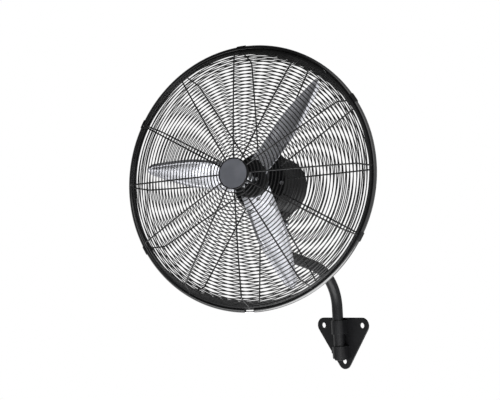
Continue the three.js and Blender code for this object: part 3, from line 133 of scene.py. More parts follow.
def white_to_camera(tree, dim, white_rays, white_node="ShaderNodeEmission"):
    """Shader that is plain white for the listed rays and the dim shader for all others."""
    path = added(tree, "ShaderNodeLightPath")
    white = added(tree, white_node, {"Color": (1, 1, 1, 1)})
    total = path.outputs[white_rays[0]]
    for ray in white_rays[1:]:
        either = {0: total, 1: path.outputs[ray]}
        total = added(tree, "ShaderNodeMath", either, operation="MAXIMUM").outputs[0]
    return added(tree, "ShaderNodeMixShader", {0: total, 1: dim.outputs[0], 2: white.outputs[0]})


world = bpy.data.worlds.new("surround")
world.use_nodes = True
scene.world = world
sky = world.node_tree
sky.nodes.clear()
direction = added(sky, "ShaderNodeTexCoord")
split = added(sky, "ShaderNodeSeparateXYZ", {0: direction.outputs["Generated"]})
across_sky = added(sky, "ShaderNodeMapRange", {"Value": split.outputs["X"], "From Min": -1.0})
sides = added(sky, "ShaderNodeValToRGB", {0: across_sky.outputs[0]})
while len(sides.color_ramp.elements) < len(mirror_levels):
    sides.color_ramp.elements.new(0.5)
for element, (place, level) in zip(sides.color_ramp.elements, mirror_levels):
    element.position = (place + 1) / 2
    element.color = (level, level, level, 1)
mirrored = added(sky, "ShaderNodeBackground", {"Color": sides.outputs["Color"]})
plain = added(sky, "ShaderNodeBackground", {"Color": (1, 1, 1, 1), "Strength": surround_light})
glossy = added(sky, "ShaderNodeLightPath").outputs["Is Glossy Ray"]
by_ray = added(sky, "ShaderNodeMixShader", {0: glossy, 1: plain.outputs[0], 2: mirrored.outputs[0]})
see = white_to_camera(sky, by_ray, ["Is Camera Ray", "Is Transmission Ray"], "ShaderNodeBackground")
added(sky, "ShaderNodeOutputWorld", {0: see.outputs[0]})

floor_paint = bpy.data.materials.new("floor_paint")
floor_paint.use_nodes = True
floor_tree = floor_paint.node_tree
matt = floor_tree.nodes["Principled BSDF"]
feed(floor_tree, matt, {"Base Color": floor_colour, "Roughness": 0.9})
floor_mix = white_to_camera(floor_tree, matt, ["Is Camera Ray", "Is Glossy Ray", "Is Transmission Ray"])
floor_tree.links.new(floor_mix.outputs[0], floor_tree.nodes["Material Output"].inputs["Surface"])
floor_mesh = bpy.data.meshes.new("floor")
floor_z = cad_box[0][2] - floor_drop
corners = [(-1, -1), (1, -1), (1, 1), (-1, 1)]
floor_mesh.from_pydata([(x * floor_half, y * floor_half, floor_z) for x, y in corners], [], [(0, 1, 2, 3)])
floor_mesh.materials.append(floor_paint)
floor = linked("floor", floor_mesh)

# Soft boxes: name, place, size and power in watts. Each is aimed at the middle of the fan head.
joints = {joint["name"]: joint for joint in frame["joints"]}
fan_middle = Vector(joints["wheel_spin"]["pos_m"])
for box_name, place, size, power in [
    ("key_box", (1.7, -2.3, 1.7), 1.6, 9),
    ("low_box", (-0.3, -2.5, -0.5), 0.9, 6),
    ("under_box", (0.45, -0.65, -0.66), 1.4, 52),
]:
    lamp = bpy.data.lights.new(box_name, "AREA")
    lamp.shape = "SQUARE"
    lamp.size = size
    lamp.energy = power
    lamp_object = linked(box_name, lamp)
    lamp_object.location = place
    aim = fan_middle - Vector(place)
    lamp_object.rotation_euler = aim.to_track_quat("-Z", "Y").to_euler()

# ---- wall plate ------------------------------------------------------------------------------
# A laser-cut steel triangle with round corners and a screw hole in each, powder coated black.
# Its finish, a fine orange-peel gloss that thins to bare steel along edges, is shared below.
plate_thickness = 0.005
plate_hole_radius = 0.008
plate_corner_radius = 0.023
plate_holes = [(-0.073, 0.040), (0.0, -0.066), (0.073, 0.040)]
plate_hole_sides = 40
plate_edge_round = 0.0007
paint_colour = (0.0042, 0.0043, 0.0048, 1)
bare_steel = (0.30, 0.30, 0.31, 1)
peel_strength = 0.6
coat_roughness = 0.12


def finish_group(name, values):
    """A shader group with the given inputs that puts out a colour, a roughness and a height."""
    tree = bpy.data.node_groups.new(name, "ShaderNodeTree")
    kinds = {1: "NodeSocketFloat", 3: "NodeSocketVector", 4: "NodeSocketColor"}
    for socket, value in values.items():
        kind = kinds[len(value) if isinstance(value, tuple) else 1]
        tree.interface.new_socket(name=socket, in_out="INPUT", socket_type=kind).default_value = value
    for socket, size in [("Colour", 4), ("Roughness", 1), ("Height", 1)]:
        tree.interface.new_socket(name=socket, in_out="OUTPUT", socket_type=kinds[size])
    return tree, added(tree, "NodeGroupInput").outputs, added(tree, "NodeGroupOutput")


def maths(tree, operation, *values):
    """What a Math node gives for numbers or sockets."""
    return added(tree, "ShaderNodeMath", dict(enumerate(values)), operation=operation).outputs[0]


def span(tree, value, low, high, to_low, to_high):
    """A value mapped from low..high to to_low..to_high, clamped."""
    ends = {"Value": value, "From Min": low, "From Max": high, "To Min": to_low, "To Max": to_high}
    return added(tree, "ShaderNodeMapRange", ends).outputs[0]


def vector_maths(tree, operation, inputs):
    return added(tree, "ShaderNodeVectorMath", inputs, operation=operation)


def noise(tree, scale, detail=2.0, vector=None):
    """A Noise texture in object space, centred near a half."""
    if vector is None:
        vector = added(tree, "ShaderNodeTexCoord").outputs["Object"]
    values = {"Vector": vector, "Scale": scale, "Detail": detail}
    return added(tree, "ShaderNodeTexNoise", values).outputs["Fac"]


def coat_group():
    """Powder coat: mottled colour and roughness, orange-peel height, and wear where edges catch."""
    values = {"Colour": paint_colour, "Bare colour": bare_steel, "Roughness": 0.3}
    values |= {"Peel scale": 900.0, "Wear": 0.3, "Edge width": 0.0012}
    tree, given, made = finish_group("powder_coat", values)
    patches = noise(tree, 16.0, 4.0)
    scuffs = noise(tree, 140.0, 5.0)
    peel = noise(tree, given["Peel scale"], 1.5)
    rounded = added(tree, "ShaderNodeBevel", {"Radius": given["Edge width"]}, samples=4)
    normal = added(tree, "ShaderNodeNewGeometry").outputs["Normal"]
    facing = vector_maths(tree, "DOT_PRODUCT", {0: rounded.outputs[0], 1: normal})
    edge = span(tree, facing.outputs["Value"], 0.75, 0.985, 1.0, 0.0)
    chipped = span(tree, scuffs, 0.48, 0.62, 0.0, 1.0)
    wear = maths(tree, "MULTIPLY", maths(tree, "MULTIPLY", edge, chipped), given["Wear"])
    lighter = span(tree, patches, 0.35, 0.7, 0.85, 1.25)
    tint = vector_maths(tree, "SCALE", {0: given["Colour"], "Scale": lighter})
    colours = {0: wear, 6: tint.outputs[0], 7: given["Bare colour"]}
    colour = added(tree, "ShaderNodeMix", colours, data_type="RGBA").outputs[2]
    uneven = span(tree, scuffs, 0.3, 0.7, -0.05, 0.07)
    worn = maths(tree, "MULTIPLY", wear, 0.15)
    rough = maths(tree, "ADD", maths(tree, "ADD", given["Roughness"], uneven), worn)
    feed(tree, made, {"Colour": colour, "Roughness": rough, "Height": peel})
    return tree


powder_coat = coat_group()


def dressed(name, group, values, bump_strength, bump_depth, shader_values):
    """A material whose colour, roughness and bump come from a finish group."""
    material = bpy.data.materials.new(name)
    material.use_nodes = True
    tree = material.node_tree
    finish = added(tree, "ShaderNodeGroup", values, node_tree=group)
    bump_values = {"Strength": bump_strength, "Distance": bump_depth, "Height": finish.outputs["Height"]}
    shader_values["Base Color"] = finish.outputs["Colour"]
    shader_values["Roughness"] = finish.outputs["Roughness"]
    shader_values["Normal"] = added(tree, "ShaderNodeBump", bump_values).outputs[0]
    feed(tree, tree.nodes["Principled BSDF"], shader_values)
    return material


def coated(name, colour, roughness, wear, peel_height, peel_scale=900, specular=0.2, gloss=0, metallic=0):
    """A material with a coat over steel, aluminium or plastic."""
    values = {"Colour": colour, "Roughness": roughness, "Wear": wear, "Peel scale": peel_scale}
    shine = {"Coat Weight": gloss, "Coat Roughness": coat_roughness, "Specular IOR Level": specular}
    shine["Metallic"] = metallic
    return dressed(name, powder_coat, values, peel_strength, peel_height, shine)


black_paint = coated("black_paint", paint_colour, 0.38, 0.12, 0.00006, specular=0.16)


def settled(name, mesh, material, body, node, edge_round=0.0, crease=32):
    """Links a mesh as a piece that rides on a body and stands for its CAD node."""
    shaped = bmesh.new()
    shaped.from_mesh(mesh)
    bmesh.ops.remove_doubles(shaped, verts=shaped.verts, dist=1e-6)
    bmesh.ops.recalc_face_normals(shaped, faces=shaped.faces)
    for face in shaped.faces:
        face.smooth = True
    for edge in shaped.edges:
        edge.smooth = len(edge.link_faces) == 2 and edge.calc_face_angle(0) < radians(crease)
    shaped.to_mesh(mesh)
    shaped.free()
    mesh.name = name
    mesh.materials.clear()
    mesh.materials.append(material)
    piece = linked(name, mesh)
    if edge_round:
        rounding = piece.modifiers.new("edge_round", "BEVEL")
        rounding.width = edge_round
        rounding.segments = 2
        rounding.limit_method = "ANGLE"
        rounding.angle_limit = radians(crease)
        rounding.harden_normals = True
    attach(piece, body)
    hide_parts(node)


def arc(centre, radius, start, end, steps):
    """Points of an arc in a plane, from one angle to another in degrees."""
    angles = [radians(start + (end - start) * i / steps) for i in range(steps + 1)]
    return [(centre[0] + radius * cos(a), centre[1] + radius * sin(a)) for a in angles]


def ring_of(centre, radius, sides):
    """Points spaced evenly round a circle."""
    return arc(centre, radius, 0, 360 - 360 / sides, sides - 1)


def evaluated(host):
    """The plain mesh that an object's curve or modifiers make. The object is removed."""
    mesh = bpy.data.meshes.new_from_object(host.evaluated_get(bpy.context.evaluated_depsgraph_get()))
    bpy.data.objects.remove(host)
    return mesh


def slab(outline, low, high, holes=()):
    """A flat plate in X and Y between two heights, with round-cornered outline and holes."""
    curve = bpy.data.curves.new("outline", "CURVE")
    curve.dimensions = "2D"
    curve.fill_mode = "BOTH"
    curve.extrude = (high - low) / 2
    for points in [outline, *holes]:
        spline = curve.splines.new("POLY")
        spline.points.add(len(points) - 1)
        for point, (x, y) in zip(spline.points, points):
            point.co = (x, y, 0, 1)
        spline.use_cyclic_u = True
    mesh = evaluated(linked("outline", curve))
    bpy.data.curves.remove(curve)
    mesh.transform(Matrix.Translation((0, 0, (low + high) / 2)))
    return mesh


def round_outline(corners, radius, steps=10):
    """The outline round a set of anticlockwise corner circles of one radius."""
    points = []
    for i, (x, y) in enumerate(corners):
        before = corners[i - 1]
        after = corners[(i + 1) % len(corners)]
        start = atan2(y - before[1], x - before[0]) - pi / 2
        turn = (atan2(after[1] - y, after[0] - x) - pi / 2 - start) % tau
        for k in range(steps + 1):
            angle = start + turn * k / steps
            points.append((x + radius * cos(angle), y + radius * sin(angle)))
    return points


upright = Matrix.Rotation(pi / 2, 4, "X")
screw_holes = [ring_of(hole, plate_hole_radius, plate_hole_sides) for hole in plate_holes]
plate_mesh = slab(round_outline(plate_holes, plate_corner_radius), 0, plate_thickness, screw_holes)
plate_mesh.transform(upright)
settled("plate", plate_mesh, black_paint, "wall_bracket", "wall_plate", plate_edge_round)

# ---- pipe clamps -----------------------------------------------------------------------------
# Two folded straps over the front of the tube. Each is welded to the plate on the right, and its
# ear on the left is pulled back by a black hexagon bolt towards a block on the plate.
strap_inner = 0.0164
strap_outer = 0.0206
strap_leg_end = 0.0192
ear_reach = 0.031
ear_front = 0.004
ear_back = 0.009
block_front = 0.012
clamp_bolt_x = 0.0259
clamp_bolt_radius = 0.003
clamp_bolt_length = 0.0138
clamp_round = 0.0008
clamp_arc_steps = 28
bolt_round = 0.0004
seat_gap = 0.0003
tube_axis_y = joints["arm_swing"]["pos_m"][1]
# A hexagon's width across its flats and its height, and its washer face's radius and height, in
# radii of the shank.
hex_width = 3.25
hex_height = 1.4
washer_radius = hex_width * 0.48
washer_height = 0.2

black_bolt = coated("black_bolt", (0.009, 0.009, 0.010, 1), 0.34, 0.6, 0.00002, metallic=0.5)


def mesh_of(body, name):
    """The mesh of a finished bmesh, which is freed."""
    mesh = bpy.data.meshes.new(name)
    body.to_mesh(mesh)
    body.free()
    return mesh


def box_mesh(x, y, z):
    """A box from its low and high ends along each axis."""
    body = bmesh.new()
    bmesh.ops.create_cube(body, size=1)
    for vert in body.verts:
        vert.co = [ends[0] + (ends[1] - ends[0]) * (value + 0.5) for ends, value in zip((x, y, z), vert.co)]
    return mesh_of(body, "box")


def merged(meshes):
    """One mesh that holds several."""
    body = bmesh.new()
    for mesh in meshes:
        body.from_mesh(mesh)
        bpy.data.meshes.remove(mesh)
    return mesh_of(body, "merged")


def bar(radius, low, high, sides=40):
    """A straight bar along Z, round or, with few sides, a prism."""
    return slab(ring_of((0, 0), radius, sides), low, high)


def hex_corner(radius):
    return radius * hex_width / 2 / cos(pi / 6)


def hex_bolt(radius, length):
    """A hexagon bolt: its head on a washer face above z = 0, and its shank below."""
    head = bar(hex_corner(radius), radius * washer_height * 0.8, radius * hex_height, 6)
    face = bar(radius * washer_radius, 0, radius * washer_height, 24)
    shank = bar(radius, -length, 0.0, 24)
    return merged([head, face, shank])


def placed(mesh, matrix):
    mesh.transform(matrix)
    return mesh


strap_outline = (
    [(-ear_reach, ear_front), (-strap_outer, ear_front)]
    + arc((0, 0), strap_outer, 180, 360, clamp_arc_steps)
    + [(strap_outer, strap_leg_end), (strap_inner, strap_leg_end)]
    + arc((0, 0), strap_inner, 360, 180, clamp_arc_steps)
    + [(-strap_inner, ear_back), (-ear_reach, ear_back)]
)
block_outline = [
    (-ear_reach, block_front), (-strap_inner, block_front),
    (-strap_inner, strap_leg_end), (-ear_reach, strap_leg_end),
]
flats_to_tube = Matrix.Rotation(radians(30), 4, "Z")
for place in ("upper", "lower"):
    low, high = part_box(f"{place}_clamp_strap")
    middle = (low[2] + high[2]) / 2
    for part, outline in [("strap", strap_outline), ("block", block_outline)]:
        form = placed(slab(outline, low[2], high[2]), Matrix.Translation((0, tube_axis_y, 0)))
        node = f"{place}_clamp_{part}"
        settled(f"{place}_{part}", form, black_paint, "wall_bracket", node, clamp_round)
    bolt_seat = Matrix.Translation((-clamp_bolt_x, tube_axis_y + ear_front - seat_gap, middle)) @ upright
    bolt = placed(hex_bolt(clamp_bolt_radius, clamp_bolt_length), bolt_seat @ flats_to_tube)
    node = f"{place}_clamp_bolt"
    settled(f"{place}_bolt", bolt, black_bolt, "wall_bracket", node, bolt_round)

# ---- arm -------------------------------------------------------------------------------------
# One steel tube bent twice, painted black, with a plastic plug pressed into its lower end.
tube_radius = 0.016
tube_sides = 40
lower_bend_z = 0.096
lower_bend_radius = 0.130
upper_bend_radius = 0.044
bend_degrees = 74
plug_head = 0.003
plug_chamfer = 0.0012
plug_wall = 0.0024
plug_round = 0.0003
black_plastic = coated("black_plastic", (0.006, 0.006, 0.0065, 1), 0.5, 0.0, 0.00012, 1400.0)


def arm_points():
    """Points along the middle of the tube, from its lower end to its top, as (y, z)."""
    low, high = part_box("arm_tube")
    post_y = joints["head_swivel"]["pos_m"][1]
    bend = radians(bend_degrees)
    first = arc((tube_axis_y - lower_bend_radius, lower_bend_z), lower_bend_radius, 0, bend_degrees, 26)
    start_y = post_y + upper_bend_radius * (1 - cos(bend))
    start_z = first[-1][1] + (first[-1][0] - start_y) / sin(bend) * cos(bend)
    centre = (post_y + upper_bend_radius, start_z + upper_bend_radius * sin(bend))
    second = arc(centre, upper_bend_radius, 180 + bend_degrees, 180, 22)
    return [(tube_axis_y, low[2])] + first + second + [(post_y, high[2])]


def tube_along(points, radius, sides):
    """A round bar through points in the plane X = 0, with flat ends."""
    body = bmesh.new()
    rings = []
    for i, (y, z) in enumerate(points):
        before = Vector(points[max(i - 1, 0)])
        after = Vector(points[min(i + 1, len(points) - 1)])
        along = (after - before).normalized() if 0 < i < len(points) - 1 else Vector((0, 1))
        ring = []
        for k in range(sides):
            angle = tau * k / sides
            off = radius * sin(angle)
            ring.append(body.verts.new((radius * cos(angle), y - along.y * off, z + along.x * off)))
        rings.append(ring)
    for low, high in zip(rings, rings[1:]):
        for k in range(sides):
            body.faces.new((low[k], low[(k + 1) % sides], high[(k + 1) % sides], high[k]))
    body.faces.new(rings[0][::-1])
    body.faces.new(rings[-1])
    return mesh_of(body, "tube")


bent_tube = tube_along(arm_points(), tube_radius, tube_sides)
settled("bent_tube", bent_tube, black_paint, "arm", "arm_tube")


def turned(profile, steps=64, turn=tau):
    """A solid of revolution about Z from a closed profile of (radius, z) points."""
    body = bmesh.new()
    closed = abs(turn - tau) < 1e-6
    count = steps if closed else steps + 1
    rings = []
    for i in range(count):
        angle = turn * i / steps
        rings.append([body.verts.new((r * cos(angle), r * sin(angle), z)) for r, z in profile])
    sides = len(profile)
    for i in range(steps):
        here = rings[i]
        there = rings[(i + 1) % count]
        for k in range(sides):
            n = (k + 1) % sides
            if max(profile[k][0], profile[n][0]) < 1e-7:
                continue
            body.faces.new((here[k], here[n], there[n], there[k]))
    if not closed:
        body.faces.new(rings[0])
        body.faces.new(rings[-1][::-1])
    bmesh.ops.remove_doubles(body, verts=body.verts, dist=1e-7)
    bmesh.ops.dissolve_degenerate(body, edges=body.edges, dist=1e-8)
    return mesh_of(body, "turned")


plug_low, plug_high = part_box("tube_end_plug")
plug_length = plug_high[2] - plug_low[2]
plug_inner = tube_radius - plug_wall
plug_profile = [
    (0, 0), (tube_radius - plug_chamfer, 0), (tube_radius, plug_chamfer), (tube_radius, plug_head),
    (plug_inner, plug_head), (plug_inner, plug_length), (0, plug_length),
]
plug = placed(turned(plug_profile, tube_sides), Matrix.Translation((0, tube_axis_y, plug_low[2])))
settled("end_plug", plug, black_plastic, "arm", "tube_end_plug", plug_round)

# ---- knuckle ---------------------------------------------------------------------------------
# A cast head pinched round the top of the tube, so that the fan can be swung, with a cross barrel
# that carries the tilt bolt.
socket_outer = 0.0224
socket_inner = 0.0164
socket_low = -0.038
socket_shoulder = -0.006
socket_top = -0.0005
socket_chamfer = 0.002
socket_crown = 0.006
lug_half = 0.008
lug_start = 0.012
lug_end = socket_outer + 0.018
lug_top = -0.014
slit_half = 0.002
slit_start = 0.010
slit_end = 0.06
cut_past = 0.001
bore_reach = 0.04
barrel_radius = 0.014
barrel_half = 0.024
barrel_bore = 0.0064
pinch_radius = 0.004
pinch_length = 0.025
pinch_y = socket_outer + 0.009
cast_round = 0.0007
cast_paint = coated("cast_paint", (0.0045, 0.0046, 0.005, 1), 0.46, 0.3, 0.00022, 420.0)

across = Vector(joints["head_tilt"]["axis"]).normalized()
fan_forward = Vector(joints["wheel_spin"]["axis"]).normalized()
knuckle_place = Matrix((across, Vector((0, 0, 1)).cross(across), Vector((0, 0, 1)))).transposed().to_4x4()
knuckle_place.translation = Vector(joints["head_tilt"]["pos_m"])
sideways = Matrix.Rotation(pi / 2, 4, "Y")


def combined(first, second, operation):
    """The union or difference of two closed meshes."""
    a = linked("first", first)
    b = linked("second", second)
    change = a.modifiers.new("change", "BOOLEAN")
    change.operation = operation
    change.solver = "EXACT"
    change.object = b
    mesh = evaluated(a)
    bpy.data.objects.remove(b)
    return mesh


head = turned(
    [(0, socket_low), (socket_outer - socket_chamfer, socket_low),
     (socket_outer, socket_low + socket_chamfer), (socket_outer, socket_shoulder),
     (socket_outer - socket_crown, socket_top), (0, socket_top)],
    48,
)
cut_low = socket_low - cut_past
for form, operation in [
    (placed(bar(barrel_radius, -barrel_half, barrel_half), sideways), "UNION"),
    (box_mesh((-lug_half, lug_half), (lug_start, lug_end), (socket_low, lug_top)), "UNION"),
    (box_mesh((-slit_half, slit_half), (slit_start, slit_end), (cut_low, lug_top)), "DIFFERENCE"),
    (bar(socket_inner, cut_low, lug_top), "DIFFERENCE"),
    (placed(bar(barrel_bore, -bore_reach, bore_reach, 24), sideways), "DIFFERENCE"),
]:
    head = combined(head, form, operation)
head.transform(knuckle_place)
settled("socket_head", head, cast_paint, "knuckle", "post_head", cast_round)


def hex_nut(radius):
    """A hexagon nut with its bore, from z = 0 up."""
    bore = ring_of((0, 0), radius + 0.0002, 24)
    return slab(ring_of((0, 0), hex_corner(radius), 6), 0, radius * hex_height, [bore])


pinch_z = (socket_low + lug_top) / 2
for name, form, node, start in [
    ("pinch_screw", hex_bolt(pinch_radius, pinch_length), "pinch_bolt", lug_half + seat_gap),
    ("pinch_locknut", hex_nut(pinch_radius), "pinch_nut", -lug_half - seat_gap - pinch_radius * hex_height),
]:
    seat = knuckle_place @ Matrix.Translation((start, pinch_y, pinch_z)) @ sideways
    settled(name, placed(form, seat), black_bolt, "knuckle", node, bolt_round)

# ---- tilt clevis -----------------------------------------------------------------------------
# A folded U under the motor that straddles the barrel, with the tilt bolt and nut through both.
clevis_inner = 0.0244
clevis_outer = 0.0294
clevis_half_depth = 0.028
clevis_ear_radius = 0.015
clevis_top = 0.0217
clevis_sheet = 0.005
clevis_round = 0.0008
tilt_bolt_radius = 0.006
tilt_bolt_length = 0.070
tilt_bore = 0.0063
tilt_bolt_round = 0.0005
zinc_colour = (0.52, 0.53, 0.55, 1)
streak_strength = 0.4

head_place = Matrix((across, -fan_forward, fan_forward.cross(across))).transposed().to_4x4()
head_place.translation = knuckle_place.translation


def metal_group():
    """Bare metal: drawn streaks along one direction, and smudges."""
    values = {"Colour": zinc_colour, "Roughness": 0.3, "Streak scale": (300.0, 300.0, 300.0), "Streaks": 0.2}
    tree, given, made = finish_group("bare_metal", values)
    place = added(tree, "ShaderNodeTexCoord").outputs["Object"]
    stretch = vector_maths(tree, "MULTIPLY", {0: place, 1: given["Streak scale"]})
    streaks = noise(tree, 1.0, 3.0, stretch.outputs[0])
    smudges = noise(tree, 22.0, 4.0)
    lighter = maths(tree, "MULTIPLY", maths(tree, "SUBTRACT", streaks, 0.5), given["Streaks"])
    shade = maths(tree, "ADD", maths(tree, "ADD", lighter, 1.0), span(tree, smudges, 0.35, 0.65, -0.05, 0.04))
    tint = vector_maths(tree, "SCALE", {0: given["Colour"], "Scale": shade})
    smear = span(tree, smudges, 0.35, 0.7, -0.04, 0.08)
    rough = maths(tree, "ADD", given["Roughness"], smear)
    feed(tree, made, {"Colour": tint.outputs[0], "Roughness": rough, "Height": streaks})
    return tree


bare_metal = metal_group()


def metal(name, colour, roughness, streak_scale, streaks, streak_depth=0.00001):
    """A bare metal whose streaks run along the axis with the smallest scale."""
    values = {"Colour": colour, "Roughness": roughness, "Streak scale": streak_scale, "Streaks": streaks}
    return dressed(name, bare_metal, values, streak_strength, streak_depth, {"Metallic": 1.0})


zinc = metal("zinc", zinc_colour, 0.28, (500.0, 500.0, 500.0), 0.15)

ear_outline = [(clevis_ear_radius, clevis_top + 0.001), (-clevis_ear_radius, clevis_top + 0.001)]
ear_outline += arc((0, 0), clevis_ear_radius, 180, 360, 24)
stand = Matrix(((0, 0, 1, 0), (1, 0, 0, 0), (0, 1, 0, 0), (0, 0, 0, 1)))
clevis = box_mesh(
    (-clevis_outer, clevis_outer),
    (-clevis_half_depth, clevis_half_depth),
    (clevis_top - clevis_sheet, clevis_top),
)
for low in (-clevis_outer, clevis_inner):
    clevis = combined(clevis, placed(slab(ear_outline, low, low + clevis_sheet), stand), "UNION")
clevis = combined(clevis, placed(bar(tilt_bore, -bore_reach, bore_reach, 24), sideways), "DIFFERENCE")
clevis.transform(head_place)
settled("motor_clevis", clevis, cast_paint, "fan_head", "tilt_clevis", clevis_round)
for name, form, node, side in [
    ("tilt_screw", hex_bolt(tilt_bolt_radius, tilt_bolt_length), "tilt_bolt", -1),
    ("tilt_locknut", hex_nut(tilt_bolt_radius), "tilt_nut", 1),
]:
    turn = Matrix.Rotation(side * pi / 2, 4, "Y")
    seat = head_place @ Matrix.Translation((side * (clevis_outer + seat_gap), 0, 0)) @ turn
    settled(name, placed(form, seat), zinc, "fan_head", node, tilt_bolt_round)

# ---- motor -----------------------------------------------------------------------------------
# A cast front bell and a drum-shaped rear shell in black, closed over the stator. The seam
# between them shows as a fine groove. Everything here is turned about the fan's axis.
fan_place = Matrix((across, fan_forward.cross(across), fan_forward)).transposed().to_4x4()
fan_place.translation = fan_middle
motor_steps = 96
axle_bore = 0.0085
bell_face = -0.094
bell_face_radius = 0.070
bell_shoulder = 0.0035
bell_shoulder_centre = (0.0718, bell_face - bell_shoulder)
bell_radius = 0.088
bell_bend = 0.006
bell_bend_centre = (bell_radius - bell_bend, bell_face - 0.0294)
bell_wall = 0.006
bell_inner = 0.080
bell_back = -0.134
bell_slope = 26.6
shell_front_radius = 0.086
shell_rear_radius = 0.085
shell_inner = 0.0735
shell_lip = 0.012
shell_back = -0.245
shell_round = 0.009
shell_wall = 0.006
pad_x = (-0.036, 0.036)
pad_y = (-0.088, -0.074)
pad_z = (-0.2239, -0.1639)
gland_below_axis = 0.044
gland_profile = [
    (0.004, 0.006), (0.0063, 0.006), (0.0063, 0), (0.009, 0), (0.009, -0.005), (0.0078, -0.006),
    (0.0078, -0.007), (0.0088, -0.008), (0.0088, -0.014), (0.0070, -0.0185), (0.0058, -0.020),
    (0.004, -0.020),
]
motor_paint = coated("motor_paint", (0.0045, 0.0047, 0.0052, 1), 0.42, 0.12, 0.00020, 480.0)


def on_axis(name, mesh, finish, slot, node, edge_round=0.0, crease=32, body="fan_head"):
    """Puts a piece that is drawn about Z on the fan's axis, and settles it."""
    settled(name, placed(mesh, fan_place), finish, body, node, edge_round, crease)


bell = turned(
    [(axle_bore, bell_face), (bell_face_radius, bell_face)]
    + arc(bell_shoulder_centre, bell_shoulder, 90, bell_slope, 5)
    + arc(bell_bend_centre, bell_bend, bell_slope, 0, 5)
    + [(bell_radius, bell_back + 0.001), (bell_radius - 0.001, bell_back), (bell_inner, bell_back),
       (bell_inner, bell_face - 0.034), (0.068, bell_face - bell_wall), (axle_bore, bell_face - bell_wall)],
    motor_steps,
)
on_axis("front_bell", bell, motor_paint, "black_paint", "motor_front_bell")

shell_front = bell_back - seat_gap
shell = turned(
    [(shell_inner, shell_front), (shell_front_radius - 0.001, shell_front),
     (shell_front_radius, shell_front - 0.001), (shell_front_radius, bell_back - shell_lip),
     (shell_front_radius - 0.0012, bell_back - shell_lip - 0.0015),
     (shell_rear_radius - 0.0006, shell_back + shell_round + 0.012),
     (shell_rear_radius, shell_back + shell_round + 0.010)]
    + arc((shell_rear_radius - shell_round, shell_back + shell_round), shell_round, 0, -90, 10)
    + [(0.030, shell_back), (0.028, shell_back + 0.0015), (0.0, shell_back + 0.0015),
       (0.0, shell_back + shell_wall), (shell_inner, shell_back + shell_wall)],
    motor_steps,
)
shell = combined(shell, box_mesh(pad_x, pad_y, pad_z), "UNION")
on_axis("rear_shell", shell, motor_paint, "black_paint", "motor_rear_shell", 0.0006)

gland = placed(turned(gland_profile, 32), Matrix.Translation((0, -gland_below_axis, shell_back - seat_gap)))
on_axis("gland", gland, black_plastic, "black_plastic", "cable_gland")

# ---- bearings, stator and rotor core ---------------------------------------------------------
# The laminated stator and rotor core, the two bearings and the shaft, all of steel. They only show
# when the motor is open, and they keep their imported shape.
laminations = metal("laminations", (0.22, 0.22, 0.23, 1), 0.45, (60.0, 900.0, 60.0), 0.35, 0.00006)


def finished(node, finish):
    """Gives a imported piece, which shows as it is, its material."""
    for material_slot in frame["nodes"][node].material_slots:
        material_slot.material = finish


for node in ("motor_stator", "motor_rotor_core"):
    finished(node, laminations)
for node in ("front_bearing", "rear_bearing", "motor_shaft"):
    finished(node, zinc)

# ---- wire guards -----------------------------------------------------------------------------
# Front and rear cages of black wire: close-set rings welded to twelve spokes. Each profile is
# drawn once, from the hoop in to the centre, and a node tree runs the rings and spokes along it.
# Two stouter wires side by side make the rim that the hoop closes over.
ring_pitch = 0.0091
ring_wire_radius = 0.00145
spoke_wire_radius = 0.0020
spoke_count = 12
ring_steps = 120
shoulder_round = 0.010
rim_steps = 160
rim_wire_radius = 0.0019
rim_wires = [(0.3380, 0.0030), (0.3358, 0.0062)]
wire_paint = coated("wire_paint", (0.0030, 0.0031, 0.0035, 1), 0.32, 0.0, 0.00003, specular=0.3)


